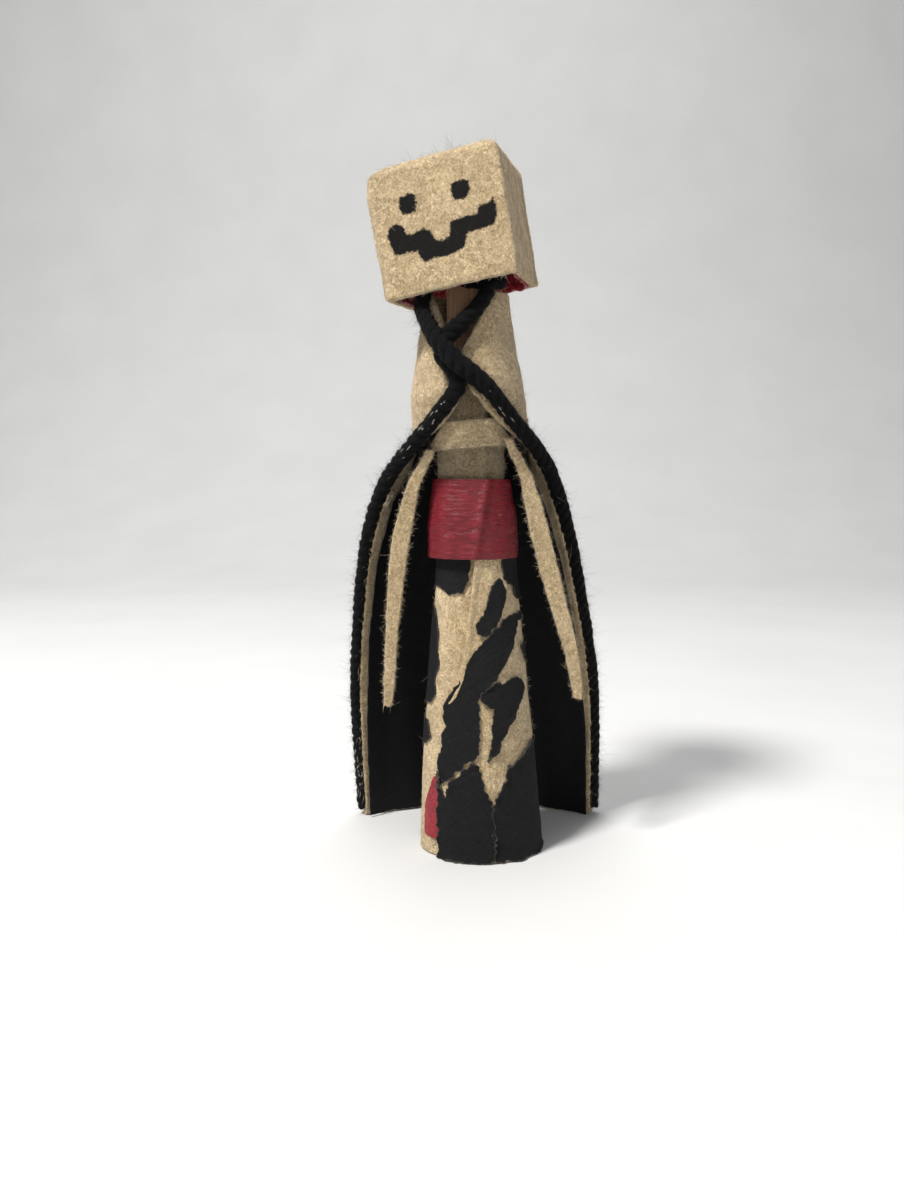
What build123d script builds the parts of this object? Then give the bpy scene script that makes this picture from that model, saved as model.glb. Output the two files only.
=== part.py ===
"""Craft stick puppet: a felt figure on a wooden craft stick, with a hollow felt head, felt
strip arms, a taped skirt and a lined felt cloak edged with yarn. Millimetres, +Z up, the
face towards -Y, standing on Z = 0."""

import os
from math import cos, hypot, pi, radians, sin, tan

from build123d import *

os.makedirs("parts", exist_ok=True)

# ---------------------------------------------------------------- driving dimensions
BODY_X, BODY_Y = -1.4, -5.8  # the stick's axis in the part's frame
FELT = 1.4  # craft felt
TAPE = 0.3  # cloth tape
PATCH = 0.35  # torn tape patches
CORD_R = 1.35  # plied yarn cord
GLUE_BLOB_RADIUS = 0.7
SKIN = 0.05  # glue line between layers
PAST = 30  # well past the figure, for cutting shapes

STICK_LENGTH, STICK_WIDTH, STICK_THICK = 114, 9.5, 2.0
STICK_FOOT = 9  # height of the stick's lower end

# ovals of the figure: (height, centre x, half width, half depth), outside of the outer felt
SKIRT_OVALS = [
    (0, 2.3, 11.9, 9.5),
    (20, 1.6, 10.7, 8.8),
    (40, 0.9, 9.4, 7.4),
    (57, 0.2, 8.1, 6.3),
    (66, 0.1, 8.0, 6.2),
]
INNER_TURN_OVALS = [
    (0, 1.3, 11.5, 8.1),
    (20, 0.7, 10.2, 7.4),
    (40, 0.5, 8.4, 6.0),
    (57, 0.2, 6.7, 4.9),
    (66, 0.1, 6.6, 4.8),
]
TORSO_OVAL = (0, 6.5, 4.3)
TORSO_LOW, TORSO_HIGH = 66.2, 92
BAND_LOW, BAND_HIGH = 79, 84
SASH_OVALS = [(58.5, 0.2, 8.7, 6.9), (66, 0.1, 8.5, 6.6), (73, -0.1, 7.3, 5.6)]

# cape sections: (height, left front edge, middle of the back, right front edge)
CAPE_SECTIONS = [
    (0, (-22.9, 15.5), (2.0, 24.2), (26.8, 16.0)),
    (20, (-23.3, 13.7), (1.5, 22.6), (26.1, 13.9)),
    (40, (-22.5, 10.4), (1.0, 20.6), (23.5, 10.1)),
    (57, (-20.5, 6.3), (0.4, 18.4), (19.6, 5.6)),
    (70, (-16.6, 2.2), (-0.2, 16.7), (15.4, 2.0)),
    (80, (-8.6, -4.6), (-0.6, 15.2), (8.8, -4.6)),
    (88, (-1.7, -8.15), (-0.7, 14.0), (0.3, -8.15)),
]
CAPE_FRONT = -40  # well ahead of the cape's open front
YOKE_OVALS = [
    (88, (-0.7, 2.9), 11.1, 11.1),
    (97, (-1.0, 1.9), 9.3, 8.1),
    (107, (-1.1, 0.5), 7.8, 5.2),
]
LINING, LINING_GLUE = 0.3, 0.12

# flap hinges: two points on each axis
FLAP_TOP = 75.5
FLAP_GAP = 1.0
LEFT_HINGE = ((-11.5, 21.6, 0), (-11.5, 12.6, 70))
RIGHT_HINGE = ((11.5, 22.4, 0), (11.5, 12.0, 70))
HINGE_YAW = 30  # turn of the hinge planes from straight sideways

HEAD_WIDTH, HEAD_DEPTH, HEAD_HEIGHT = 25.0, 21.4, 22.4
HEAD_BASE = (-1.6, 1.4, 107.4)
HEAD_YAW, HEAD_PITCH, HEAD_ROLL = -14.8, 3.8, 9.4
INK = 0.1
EYE_WIDTH, EYE_HEIGHT, EYE_X, EYE_Z = 3.1, 3.4, 4.9, 15.3


# ---------------------------------------------------------------- placing helpers
def at(x, y, z):
    """A point given from the stick's axis, in the part's frame."""
    return Vector(x + BODY_X, y + BODY_Y, z)


def level(z):
    """The horizontal plane at height z, centred on the stick's axis."""
    return Plane(origin=at(0, 0, z))


def front_plane():
    """The upright plane through the stick's axis, drawn as seen from the front."""
    return Plane(origin=at(0, 0, 0), x_dir=(1, 0, 0), z_dir=(0, -1, 0))


def head_axes():
    """The head's own right and up directions, from its turn, nod and tilt."""
    yaw, pitch, roll = radians(HEAD_YAW), radians(HEAD_PITCH), radians(HEAD_ROLL)

    def turned(x, y, z):
        y, z = y * cos(pitch) - z * sin(pitch), y * sin(pitch) + z * cos(pitch)
        return Vector(x * cos(yaw) - y * sin(yaw), x * sin(yaw) + y * cos(yaw), z)

    right = turned(cos(roll), 0, sin(roll))
    up = turned(-sin(roll), 0, cos(roll))
    return right, up


HEAD_RIGHT, HEAD_UP = head_axes()
HEAD = Plane(origin=at(*HEAD_BASE), x_dir=HEAD_RIGHT, z_dir=HEAD_UP)
HEAD_FACE = Plane(
    origin=HEAD.from_local_coords(Vector(0, -HEAD_DEPTH / 2, 0)),
    x_dir=HEAD_RIGHT,
    z_dir=-HEAD.y_dir,
)


def finish(piece, name):
    piece.label = name
    export_step(piece, f"parts/{name}.step")


# ---------------------------------------------------------------- shared shapes
def oval_stack(ovals, grow=0):
    """A solid through a list of ovals, each grown or shrunk by the same amount."""
    with BuildPart() as stack:
        for height, centre_x, half_width, half_depth in ovals:
            with BuildSketch(level(height)):
                with Locations((centre_x, 0)):
                    Ellipse(half_width + grow, half_depth + grow)
        loft()
    return stack.part


def yoke_stack(inset):
    """The cone of the cloak over the shoulders, drawn in by inset."""
    with BuildPart() as stack:
        for height, centre, half_width, half_depth in YOKE_OVALS:
            with BuildSketch(level(height)):
                with Locations(centre):
                    Ellipse(half_width - inset, half_depth - inset)
        loft()
    return stack.part


def arc_centre(a, b, c):
    """The centre of the circle through three points."""
    d = 2 * (a[0] * (b[1] - c[1]) + b[0] * (c[1] - a[1]) + c[0] * (a[1] - b[1]))
    aa, bb, cc = (p[0] ** 2 + p[1] ** 2 for p in (a, b, c))
    x = (aa * (b[1] - c[1]) + bb * (c[1] - a[1]) + cc * (a[1] - b[1])) / d
    y = (aa * (c[0] - b[0]) + bb * (a[0] - c[0]) + cc * (b[0] - a[0])) / d
    return x, y


def drawn_in(point, centre, inset):
    """The point moved towards the centre by inset."""
    x, y = centre[0] - point[0], centre[1] - point[1]
    reach = hypot(x, y)
    return point[0] + x * inset / reach, point[1] + y * inset / reach


def cape_stack(inset, open_front):
    """The space inside the cape's outer face, drawn in by inset; with an open front it
    runs on forwards from the two front edges."""
    with BuildPart() as stack:
        for height, *points in CAPE_SECTIONS:
            centre = arc_centre(*points)
            left, back, right = (drawn_in(p, centre, inset) for p in points)
            with BuildSketch(level(height)):
                with BuildLine():
                    ThreePointArc(left, back, right)
                    if open_front:
                        Polyline(right, (right[0], CAPE_FRONT), (left[0], CAPE_FRONT), left)
                    else:
                        Line(right, left)
                make_face()
        loft()
    return stack.part


def cape_sheet(outer_inset, inner_inset):
    """One layer of the cape, between two insets from its outer face."""
    outer = cape_stack(outer_inset, open_front=False)
    inner = cape_stack(inner_inset, open_front=True)
    with BuildPart() as sheet:
        add(outer)
        add(inner, mode=Mode.SUBTRACT)
    return sheet.part


def cord_tube(name, points):
    """A cord of straight runs joined by the largest arcs that its runs allow."""
    route = [at(*p) for p in points]
    radii = []
    for before, corner, after in zip(route, route[1:], route[2:]):
        turn = (corner - before).get_angle(after - corner)
        shorter = min((corner - before).length, (after - corner).length)
        radii.append(0.45 * shorter / tan(radians(turn / 2)))
    with BuildPart() as cord:
        with BuildLine():
            path = FilletPolyline(*route, radius=radii)
        with BuildSketch(Plane(origin=path @ 0, z_dir=path % 0)):
            Circle(CORD_R)
        sweep()
    expected = path.length * pi * CORD_R**2
    print(name, "length", round(path.length, 1), "radii", [round(r, 1) for r in radii])
    print(name, "volume", round(cord.part.volume, 1), "section x length", round(expected, 1))
    return cord.part


# ---------------------------------------------------------------- the stick and the body
with BuildPart() as spine_stick:
    with BuildSketch(front_plane()):
        with Locations((0, STICK_FOOT + STICK_LENGTH / 2)):
            SlotOverall(STICK_LENGTH, STICK_WIDTH, rotation=90)
    extrude(amount=STICK_THICK / 2, both=True)
finish(spine_stick.part, "spine_stick")

with BuildPart() as torso_wrap:
    torso_x, torso_half_width, torso_half_depth = TORSO_OVAL
    with BuildSketch(level(TORSO_LOW)):
        with Locations((torso_x, 0)):
            Ellipse(torso_half_width, torso_half_depth)
            Ellipse(torso_half_width - FELT, torso_half_depth - FELT, mode=Mode.SUBTRACT)
    extrude(amount=TORSO_HIGH - TORSO_LOW)
finish(torso_wrap.part, "torso_wrap")

with BuildPart() as chest_band:
    with BuildSketch(level(BAND_LOW)):
        with Locations((torso_x, 0)):
            Ellipse(torso_half_width + FELT, torso_half_depth + FELT)
            Ellipse(torso_half_width + SKIN, torso_half_depth + SKIN, mode=Mode.SUBTRACT)
    extrude(amount=BAND_HIGH - BAND_LOW)
finish(chest_band.part, "chest_band")

# the sash is one turn of wide tape over the waist and the top of the skirt
sash_outside = oval_stack(SASH_OVALS)
sash_inside = oval_stack(SASH_OVALS, -TAPE)
with BuildPart() as waist_sash:
    add(sash_outside)
    add(sash_inside, mode=Mode.SUBTRACT)
finish(waist_sash.part, "waist_sash")

# ---------------------------------------------------------------- the skirt
skirt_over = oval_stack(SKIRT_OVALS)
skirt_under = oval_stack(INNER_TURN_OVALS)
skirt_inside = oval_stack(INNER_TURN_OVALS, -FELT)
SKIRT_TOP = SKIRT_OVALS[-1][0]
WRAP_BACK_EDGE = 3  # where the outer turn ends at the back

# the outer turn's free edge runs down from the waist to the left side, then to the hem
wrap_edge = [(0.8, SKIRT_TOP), (0.5, 58), (-1.7, 40), (-3.2, 33), (-7.9, 27), (-6.6, 22), (-6.3, 0)]
with BuildPart() as outer_turn:
    with BuildSketch(front_plane()):
        with BuildLine():
            Polyline(*wrap_edge, (PAST, 0), (PAST, SKIRT_TOP), close=True)
        make_face()
    extrude(amount=PAST)
    with BuildSketch(level(0)):
        with Locations(((PAST + WRAP_BACK_EDGE) / 2, PAST / 2)):
            Rectangle(PAST - WRAP_BACK_EDGE, PAST)
    extrude(amount=SKIRT_TOP)
    add(skirt_over, mode=Mode.INTERSECT)

with BuildPart() as skirt_felt:
    add(skirt_under)
    add(outer_turn.part)
    add(skirt_inside, mode=Mode.SUBTRACT)
finish(skirt_felt.part, "skirt_felt")

LINING_TOP = 50
with BuildPart() as skirt_lining:
    add(oval_stack(INNER_TURN_OVALS, -FELT - SKIN))
    add(oval_stack(INNER_TURN_OVALS, -FELT - TAPE), mode=Mode.SUBTRACT)
    split(bisect_by=level(LINING_TOP), keep=Keep.BOTTOM)
    split(bisect_by=level(0.5), keep=Keep.TOP)
finish(skirt_lining.part, "skirt_lining")


def skirt_patch(name, outline, turn_ovals, behind=False):
    """A torn piece of tape on one turn of the skirt, cut to an outline drawn from the front."""
    under = oval_stack(turn_ovals)
    over = oval_stack(turn_ovals, PATCH)
    with BuildPart() as patch:
        with BuildSketch(front_plane()):
            with BuildLine():
                Polyline(*outline, close=True)
            make_face()
        extrude(amount=-PAST if behind else PAST)
        add(over, mode=Mode.INTERSECT)
        add(under, mode=Mode.SUBTRACT)
    finish(patch.part, name)


OUTER_PATCHES = {
    "patch_waist_right": [
        (5.6, 58.3), (5.8, 55), (7.2, 53), (9.5, 50.8), (9.5, 58.3),
    ],
    "patch_long_leaf": [
        (4.9, 54.6), (6, 52.5), (5.9, 49.5), (4.6, 46.4), (2.3, 43.9), (1, 44.2), (0.7, 46.3),
        (2.4, 48.2), (3.6, 52.5),
    ],
    "patch_diagonal": [
        (5.9, 46.8), (9.3, 48), (7.4, 41.5), (4.8, 36), (1.2, 31.9), (1.4, 23), (0.5, 20.3),
        (-3.2, 17.8), (-6.2, 15.3), (-6.3, 21), (-5.7, 24.5), (-5, 28), (-5.3, 30), (-1.3, 37),
        (-0.4, 39.6), (2.2, 43),
    ],
    "patch_side_chip": [
        (9, 41.2), (11, 41.2), (11, 37.5), (10.2, 38),
    ],
    "patch_two_lobed": [
        (2.4, 32.6), (4.9, 35.3), (5.8, 34.8), (7.5, 35.4), (9.7, 34.3), (10, 32.3), (8.1, 28.5),
        (6.2, 25.5), (5.2, 23), (2.8, 19.8), (3.7, 23), (3.9, 30.2), (2.6, 31.2),
    ],
    "patch_hem_left": [
        (-6.2, 14.7), (-4.8, 12.3), (-4.9, 15.2), (-2.3, 17.3), (0.9, 19.6), (3.8, 11.5),
        (4.1, 0.4), (-6.1, 0.4),
    ],
    "patch_hem_right": [
        (4.3, 0.4), (4.2, 11.7), (6.7, 17.1), (6.9, 19.6), (8.5, 20.2), (11.6, 22.5), (15, 20),
        (15, 0.4),
    ],
}
for patch_name, patch_outline in OUTER_PATCHES.items():
    skirt_patch(patch_name, patch_outline, SKIRT_OVALS)

UNDER_PATCHES = {
    "patch_waist_left": [
        (-7.5, 58.3), (-0.8, 58.3), (-0.5, 56.2), (-0.9, 54.1), (-1.7, 51.8), (-4.7, 52.3),
        (-7.5, 54),
    ],
    "patch_side_left": [
        (-10, 50), (-6.2, 49), (-5.9, 38), (-6.6, 32), (-7.6, 30), (-10, 29),
    ],
    "patch_edge_left": [
        (-10.5, 26), (-8.3, 26.8), (-7.8, 23.3), (-9.2, 21.8), (-10.5, 22.2),
    ],
}
for patch_name, patch_outline in UNDER_PATCHES.items():
    skirt_patch(patch_name, patch_outline, INNER_TURN_OVALS)

BACK_PATCHES = {
    "patch_back_high": [
        (-5, 54), (-1, 56), (1.5, 50), (0.5, 44), (-3, 42), (-6, 47),
    ],
    "patch_back_low": [
        (-8, 0.4), (-8, 18), (-5, 22), (-3, 16), (0, 20), (2, 14), (2.3, 0.4),
    ],
}
for patch_name, patch_outline in BACK_PATCHES.items():
    skirt_patch(patch_name, patch_outline, INNER_TURN_OVALS, behind=True)

# glossy tape folded round the inner turn's edge, seen where the outer turn stops short
edge_tape_outline = [(-9.4, 2.5), (-9.4, 15.5), (-8.8, 16.5), (-6.8, 14.6), (-6.8, 3)]
skirt_patch("skirt_edge_tape", edge_tape_outline, INNER_TURN_OVALS)


# ---------------------------------------------------------------- the arms
def arm_strip(name, shoulder, lean, inner_edge, outer_edge):
    """A felt strip cut to a curved outline, hanging from the shoulder and leaning back."""
    direction = (0, -cos(radians(lean)), -sin(radians(lean)))
    with BuildPart() as arm:
        with BuildSketch(Plane(origin=at(*shoulder), x_dir=(1, 0, 0), z_dir=direction)):
            with BuildLine():
                inner = Spline(*inner_edge)
                outer = Spline(*outer_edge)
                Line(inner @ 0, outer @ 0)
                Line(inner @ 1, outer @ 1)
            make_face()
        extrude(amount=FELT / 2, both=True)
    finish(arm.part, name)


LEFT_SHOULDER = (-7.2, -4.2, 77.8)
RIGHT_SHOULDER = (5.8, -5.6, 79.8)
ARM_LEAN = 4
arm_strip(
    "left_arm",
    LEFT_SHOULDER,
    ARM_LEAN,
    [(0.5, 0.7), (-2.6, -5.4), (-4.2, -14), (-5.2, -20), (-6.9, -33), (-7.9, -46), (-8.9, -49)],
    [(-1.2, 0.6), (-4.9, -5.4), (-7.5, -14), (-8.5, -20), (-9.3, -33), (-10, -46), (-9.9, -48.5)],
)
arm_strip(
    "right_arm",
    RIGHT_SHOULDER,
    ARM_LEAN,
    [(-0.4, 0.9), (3, -6), (4.7, -15), (7.5, -25.5), (12.1, -39.5), (13.6, -46.5), (14.6, -49.5)],
    [(1.1, 0.9), (5.3, -6), (8.2, -15), (11, -25.5), (14.7, -39.5), (15.6, -46.5), (15.7, -49)],
)


# ---------------------------------------------------------------- the cloak
with BuildPart() as cloak_yoke:
    add(yoke_stack(0))
    add(yoke_stack(FELT), mode=Mode.SUBTRACT)
    with BuildSketch(front_plane()):
        with BuildLine():
            Polyline((-2.8, 95), (4.6, 108), (-9, 108), close=True)
        make_face()
    extrude(amount=20, mode=Mode.SUBTRACT)
finish(cloak_yoke.part, "cloak_yoke")


def hinge_plane(axis, side):
    """A plane with its Z up the hinge and its X out along the flap."""
    foot, top = (at(*p) for p in axis)
    out = (side * cos(radians(HINGE_YAW)), -sin(radians(HINGE_YAW)), 0)
    return Plane(origin=foot, x_dir=out, z_dir=top - foot)


def hinge_space(axis, side, start, height):
    """Everything beyond the hinge, below a height along it."""
    with BuildPart(hinge_plane(axis, side)) as space:
        with Locations((start, 0, -20)):
            Box(60, 160, height + 20, align=(Align.MIN, Align.CENTER, Align.MIN))
    return space.part


FLAPS = {"left": (LEFT_HINGE, -1), "right": (RIGHT_HINGE, 1)}
CAPE_LAYERS = {"": (0, FELT), "_lining": (FELT + LINING_GLUE, FELT + LINING_GLUE + LINING)}
for layer, insets in CAPE_LAYERS.items():
    sheet = cape_sheet(*insets)
    middle_cuts = []
    for axis, side in FLAPS.values():
        middle_cuts.append(hinge_space(axis, side, -FLAP_GAP / 2, FLAP_TOP + FLAP_GAP / 2))
    with BuildPart() as cloak_back:
        add(sheet)
        for cut in middle_cuts:
            add(cut, mode=Mode.SUBTRACT)
    finish(cloak_back.part, f"cloak_back{layer}")
    for side_name, (axis, side) in FLAPS.items():
        flap_space = hinge_space(axis, side, FLAP_GAP / 2, FLAP_TOP - FLAP_GAP / 2)
        with BuildPart() as cloak_flap:
            add(sheet)
            add(flap_space, mode=Mode.INTERSECT)
        finish(cloak_flap.part, f"cloak_{side_name}_flap{layer}")

# ---------------------------------------------------------------- the cords
# two cords cross at the throat: the one from the left of the neck passes in front and
# goes down to the right shoulder, the other behind it and down to the left shoulder
LEFT_THROAT_CORD = [
    (-8.4, -2.0, 108),
    (-9.7, -3.3, 104.6),
    (-8.2, -6.4, 101.4),
    (-6.4, -9.5, 98.8),
    (-4.4, -10.8, 96.2),
    (-1.8, -11.4, 93.4),
    (1.2, -10.9, 91.0),
    (3.6, -9.9, 88.2),
    (5.6, -8.9, 85.6),
    (8.3, -7.2, 82.7),
    (11.5, -4.3, 79.3),
    (14.2, -1.2, 75.9),
]
RIGHT_THROAT_CORD = [
    (2.6, -2.8, 111.6),
    (3.2, -4.7, 107.6),
    (1.2, -6.0, 104.0),
    (-1.6, -6.9, 100.8),
    (-4.0, -7.5, 97.9),
    (-4.5, -8.0, 95.2),
    (-3.4, -8.6, 92.6),
    (-3.2, -9.2, 90.2),
    (-4.6, -9.5, 87.6),
    (-6.6, -8.6, 84.4),
    (-8.8, -7.1, 82.0),
    (-11.2, -4.7, 79.3),
    (-14.3, -1.9, 76),
]
LEFT_EDGE_CORD = [
    (-16.2, 0.6, 73.7),
    (-18.4, 3.0, 70.1),
    (-21.1, 5.8, 62.1),
    (-22.5, 8.6, 52.5),
    (-23.4, 11.7, 41.5),
    (-24.5, 14.6, 29),
    (-23.9, 15.7, 15),
    (-23.3, 17.0, 1.4),
]
RIGHT_EDGE_CORD = [
    (15.5, 0.9, 73.6),
    (17.4, 3.1, 69.5),
    (19.8, 5.7, 62),
    (21.8, 8.2, 53),
    (24.1, 11.4, 42),
    (26.4, 14.6, 30),
    (26.9, 16.0, 15.5),
    (27.2, 17.6, 1.4),
]
finish(cord_tube("throat_cord_left", LEFT_THROAT_CORD), "throat_cord_left")
finish(cord_tube("throat_cord_right", RIGHT_THROAT_CORD), "throat_cord_right")
finish(cord_tube("edge_cord_left", LEFT_EDGE_CORD), "edge_cord_left")
finish(cord_tube("edge_cord_right", RIGHT_EDGE_CORD), "edge_cord_right")

GLUE_BLOB_PLACE = (-17.3, 1.9, 66.2)  # on the left front edge
with BuildPart(Plane(origin=at(*GLUE_BLOB_PLACE))) as edge_glue_blob:
    Sphere(GLUE_BLOB_RADIUS)
finish(edge_glue_blob.part, "edge_glue_blob")

# ---------------------------------------------------------------- the head
INNER_WIDTH, INNER_DEPTH = HEAD_WIDTH - 2 * FELT, HEAD_DEPTH - 2 * FELT
INNER_HEIGHT = HEAD_HEIGHT - FELT
FOLD_RADIUS = 1.2

with BuildPart() as head_front:
    with BuildSketch(HEAD_FACE):
        Rectangle(HEAD_WIDTH, HEAD_HEIGHT, align=(Align.CENTER, Align.MIN))
    extrude(amount=-FELT)
    face_edges = head_front.faces().sort_by(Axis(HEAD_FACE.origin, HEAD_FACE.z_dir))[-1].edges()
    left_edge = face_edges.sort_by(Axis(HEAD_FACE.origin, HEAD_RIGHT))[0]
    top_edge = face_edges.sort_by(Axis(HEAD_FACE.origin, HEAD_UP))[-1]
    fillet([left_edge, top_edge], radius=FOLD_RADIUS)
finish(head_front.part, "head_front")

with BuildPart(HEAD) as head_back:
    with Locations((0, HEAD_DEPTH / 2 - FELT / 2, 0)):
        Box(HEAD_WIDTH, FELT, HEAD_HEIGHT, align=(Align.CENTER, Align.CENTER, Align.MIN))
finish(head_back.part, "head_back")

for side_name, side in (("left", -1), ("right", 1)):
    with BuildPart(HEAD) as head_side:
        with Locations((side * (HEAD_WIDTH - FELT) / 2, 0, 0)):
            Box(FELT, INNER_DEPTH, HEAD_HEIGHT, align=(Align.CENTER, Align.CENTER, Align.MIN))
    finish(head_side.part, f"head_{side_name}_side")

with BuildPart(HEAD) as head_top:
    with Locations((0, 0, INNER_HEIGHT)):
        Box(INNER_WIDTH, INNER_DEPTH, FELT, align=(Align.CENTER, Align.CENTER, Align.MIN))
finish(head_top.part, "head_top")

with BuildPart(HEAD) as head_lining:
    Box(INNER_WIDTH, INNER_DEPTH, INNER_HEIGHT, align=(Align.CENTER, Align.CENTER, Align.MIN))
    with Locations((0, 0, -1)):
        Box(
            INNER_WIDTH - 2 * TAPE,
            INNER_DEPTH - 2 * TAPE,
            INNER_HEIGHT - TAPE + 1,
            align=(Align.CENTER, Align.CENTER, Align.MIN),
            mode=Mode.SUBTRACT,
        )
finish(head_lining.part, "head_lining")

CROWN_WIDTH, CROWN_DEPTH, CROWN_THICK, CROWN_CORNER = 17, 12, 0.8, 2.5
CROWN_BACK = 1.5  # how far the patch sits behind the middle of the head
with BuildPart(HEAD) as crown_patch:
    with Locations((0, CROWN_BACK, HEAD_HEIGHT)):
        Box(CROWN_WIDTH, CROWN_DEPTH, CROWN_THICK, align=(Align.CENTER, Align.CENTER, Align.MIN))
    fillet(crown_patch.edges().filter_by(Axis(HEAD.origin, HEAD.z_dir)), radius=CROWN_CORNER)
finish(crown_patch.part, "crown_patch")

# marker ink: two square eyes and a stepped smile
for side_name, side in (("left", -1), ("right", 1)):
    with BuildPart() as eye:
        with BuildSketch(HEAD_FACE):
            with Locations((side * EYE_X, EYE_Z)):
                RectangleRounded(EYE_WIDTH, EYE_HEIGHT, 0.5)
        extrude(amount=INK)
    finish(eye.part, f"{side_name}_eye")

mouth_outline = [
    (-9, 12.1), (-6.3, 12.1), (-6.3, 10), (-4.1, 10.5), (-1.3, 10.2), (-0.9, 8), (1.5, 8),
    (2.2, 10.4), (7.2, 10.4), (7.6, 12.6), (10.4, 12.6), (10.6, 9.6), (8.9, 8.1), (4.4, 8),
    (4, 5.3), (0.7, 4.7), (-3.6, 4.7), (-4.6, 7.2), (-8.6, 7.1), (-9.3, 9.1),
]
with BuildPart() as mouth:
    with BuildSketch(HEAD_FACE):
        with BuildLine():
            Polyline(*mouth_outline, close=True)
        make_face()
    extrude(amount=INK)
finish(mouth.part, "mouth")

# hot glue under the front panel's lower edge
GLUE_RUN, GLUE_RADIUS = 3.6, 0.6
with BuildPart(HEAD) as head_glue_bead:
    with Locations((-1.0, -INNER_DEPTH / 2 + TAPE + GLUE_RADIUS + SKIN, 0.9)):
        Cylinder(GLUE_RADIUS, GLUE_RUN, rotation=(0, 90, 0))
finish(head_glue_bead.part, "head_glue_bead")

# the wad on the stick's end that the head sits on
WAD_RADIUS, WAD_HEIGHT, WAD_GAP = 4, 2.4, 0.15
with BuildPart(level(STICK_FOOT + STICK_LENGTH + WAD_GAP)) as head_wad:
    Cylinder(WAD_RADIUS, WAD_HEIGHT, align=(Align.CENTER, Align.CENTER, Align.MIN))
    fillet(head_wad.edges().filter_by(GeomType.CIRCLE), radius=0.6)
finish(head_wad.part, "head_wad")
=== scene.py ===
import math
import random

import bmesh
import bpy
import numpy as np
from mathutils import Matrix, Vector, noise
from mathutils.geometry import delaunay_2d_cdt


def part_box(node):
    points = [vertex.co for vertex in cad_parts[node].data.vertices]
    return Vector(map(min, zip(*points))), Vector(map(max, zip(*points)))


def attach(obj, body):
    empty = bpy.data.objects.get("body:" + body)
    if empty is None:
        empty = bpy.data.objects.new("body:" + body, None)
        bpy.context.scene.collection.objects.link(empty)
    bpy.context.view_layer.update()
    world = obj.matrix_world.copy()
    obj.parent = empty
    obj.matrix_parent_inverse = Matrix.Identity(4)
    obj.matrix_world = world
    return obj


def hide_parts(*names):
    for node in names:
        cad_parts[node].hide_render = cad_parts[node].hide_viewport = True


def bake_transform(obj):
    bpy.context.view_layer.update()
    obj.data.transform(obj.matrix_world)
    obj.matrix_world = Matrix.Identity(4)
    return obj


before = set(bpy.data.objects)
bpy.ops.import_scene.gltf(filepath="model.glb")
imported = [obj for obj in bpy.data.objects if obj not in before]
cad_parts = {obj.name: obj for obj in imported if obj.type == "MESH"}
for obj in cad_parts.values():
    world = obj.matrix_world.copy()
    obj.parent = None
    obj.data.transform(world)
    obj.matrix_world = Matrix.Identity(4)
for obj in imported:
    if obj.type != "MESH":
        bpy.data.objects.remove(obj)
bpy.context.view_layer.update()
scene = bpy.context.scene
MM = 0.001
stick_low, stick_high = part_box("spine_stick")
AXIS = np.array([(stick_low.x + stick_high.x) / 2, (stick_low.y + stick_high.y) / 2, 0.0])

FELT, TAPE = 1.4, 0.3
YARN_STRAND, YARN_HELIX, YARN_LAY = 0.93, 0.56, 6.0

# Everything below is in millimetres from the stick's axis, with the floor at 0.
SKIRT_OVALS = [
    (0, 2.3, 11.9, 9.5),
    (20, 1.6, 10.7, 8.8),
    (40, 0.9, 9.4, 7.4),
    (57, 0.2, 8.1, 6.3),
    (66, 0.1, 8.0, 6.2),
]
INNER_TURN_OVALS = [
    (0, 1.3, 11.5, 8.1),
    (20, 0.7, 10.2, 7.4),
    (40, 0.5, 8.4, 6.0),
    (57, 0.2, 6.7, 4.9),
    (66, 0.1, 6.6, 4.8),
]
SASH_OVALS = [(58.5, 0.2, 8.7, 6.9), (66, 0.1, 8.5, 6.6), (73, -0.1, 7.3, 5.6)]
TORSO_OVAL = (0, 6.5, 4.3)
CAPE_SECTIONS = [
    (0, -22.9, 15.5, 2.0, 24.2, 26.8, 16.0),
    (20, -23.3, 13.7, 1.5, 22.6, 26.1, 13.9),
    (40, -22.5, 10.4, 1.0, 20.6, 23.5, 10.1),
    (57, -20.5, 6.3, 0.4, 18.4, 19.6, 5.6),
    (70, -16.6, 2.2, -0.2, 16.7, 15.4, 2.0),
    (80, -8.6, -4.6, -0.6, 15.2, 8.8, -4.6),
    (88, -1.7, -8.15, -0.7, 14.0, 0.3, -8.15),
]
YOKE_OVALS = [(88, -0.7, 2.9, 11.1, 11.1), (97, -1.0, 1.9, 9.3, 8.1), (107, -1.1, 0.5, 7.8, 5.2)]
NECK_EDGES = {-1: [(88, -1.7), (95, -2.8), (108, -9.0)], 1: [(88, 0.3), (92, -2.2), (95, -2.7), (108, 4.6)]}
WRAP_EDGE = [(0, -6.3), (22, -6.6), (27, -7.9), (33, -3.2), (40, -1.7), (58, 0.5), (66, 0.8)]
WRAP_BACK_EDGE = 3

HEAD_WIDTH, HEAD_DEPTH, HEAD_HEIGHT = 25.0, 21.4, 22.4
HEAD_BASE = np.array([-1.6, 1.4, 107.4])
HEAD_YAW, HEAD_PITCH, HEAD_ROLL = (math.radians(a) for a in (-14.8, 3.8, 9.4))


# ---------------------------------------------------------------- shape helpers
def placed(points):
    return np.asarray(points, float).reshape(-1, 3) * MM + AXIS


def noise_at(points, wavelength, seed=0):
    """Smooth noise, one value for each point, about -1 to 1."""
    points = np.asarray(points, float)
    shift = np.array([seed * 17.31, seed * 5.17, seed * 9.73])
    flat = points.reshape(-1, 3) / wavelength + shift
    return np.array([noise.noise(p) for p in flat]).reshape(points.shape[:-1])


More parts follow.
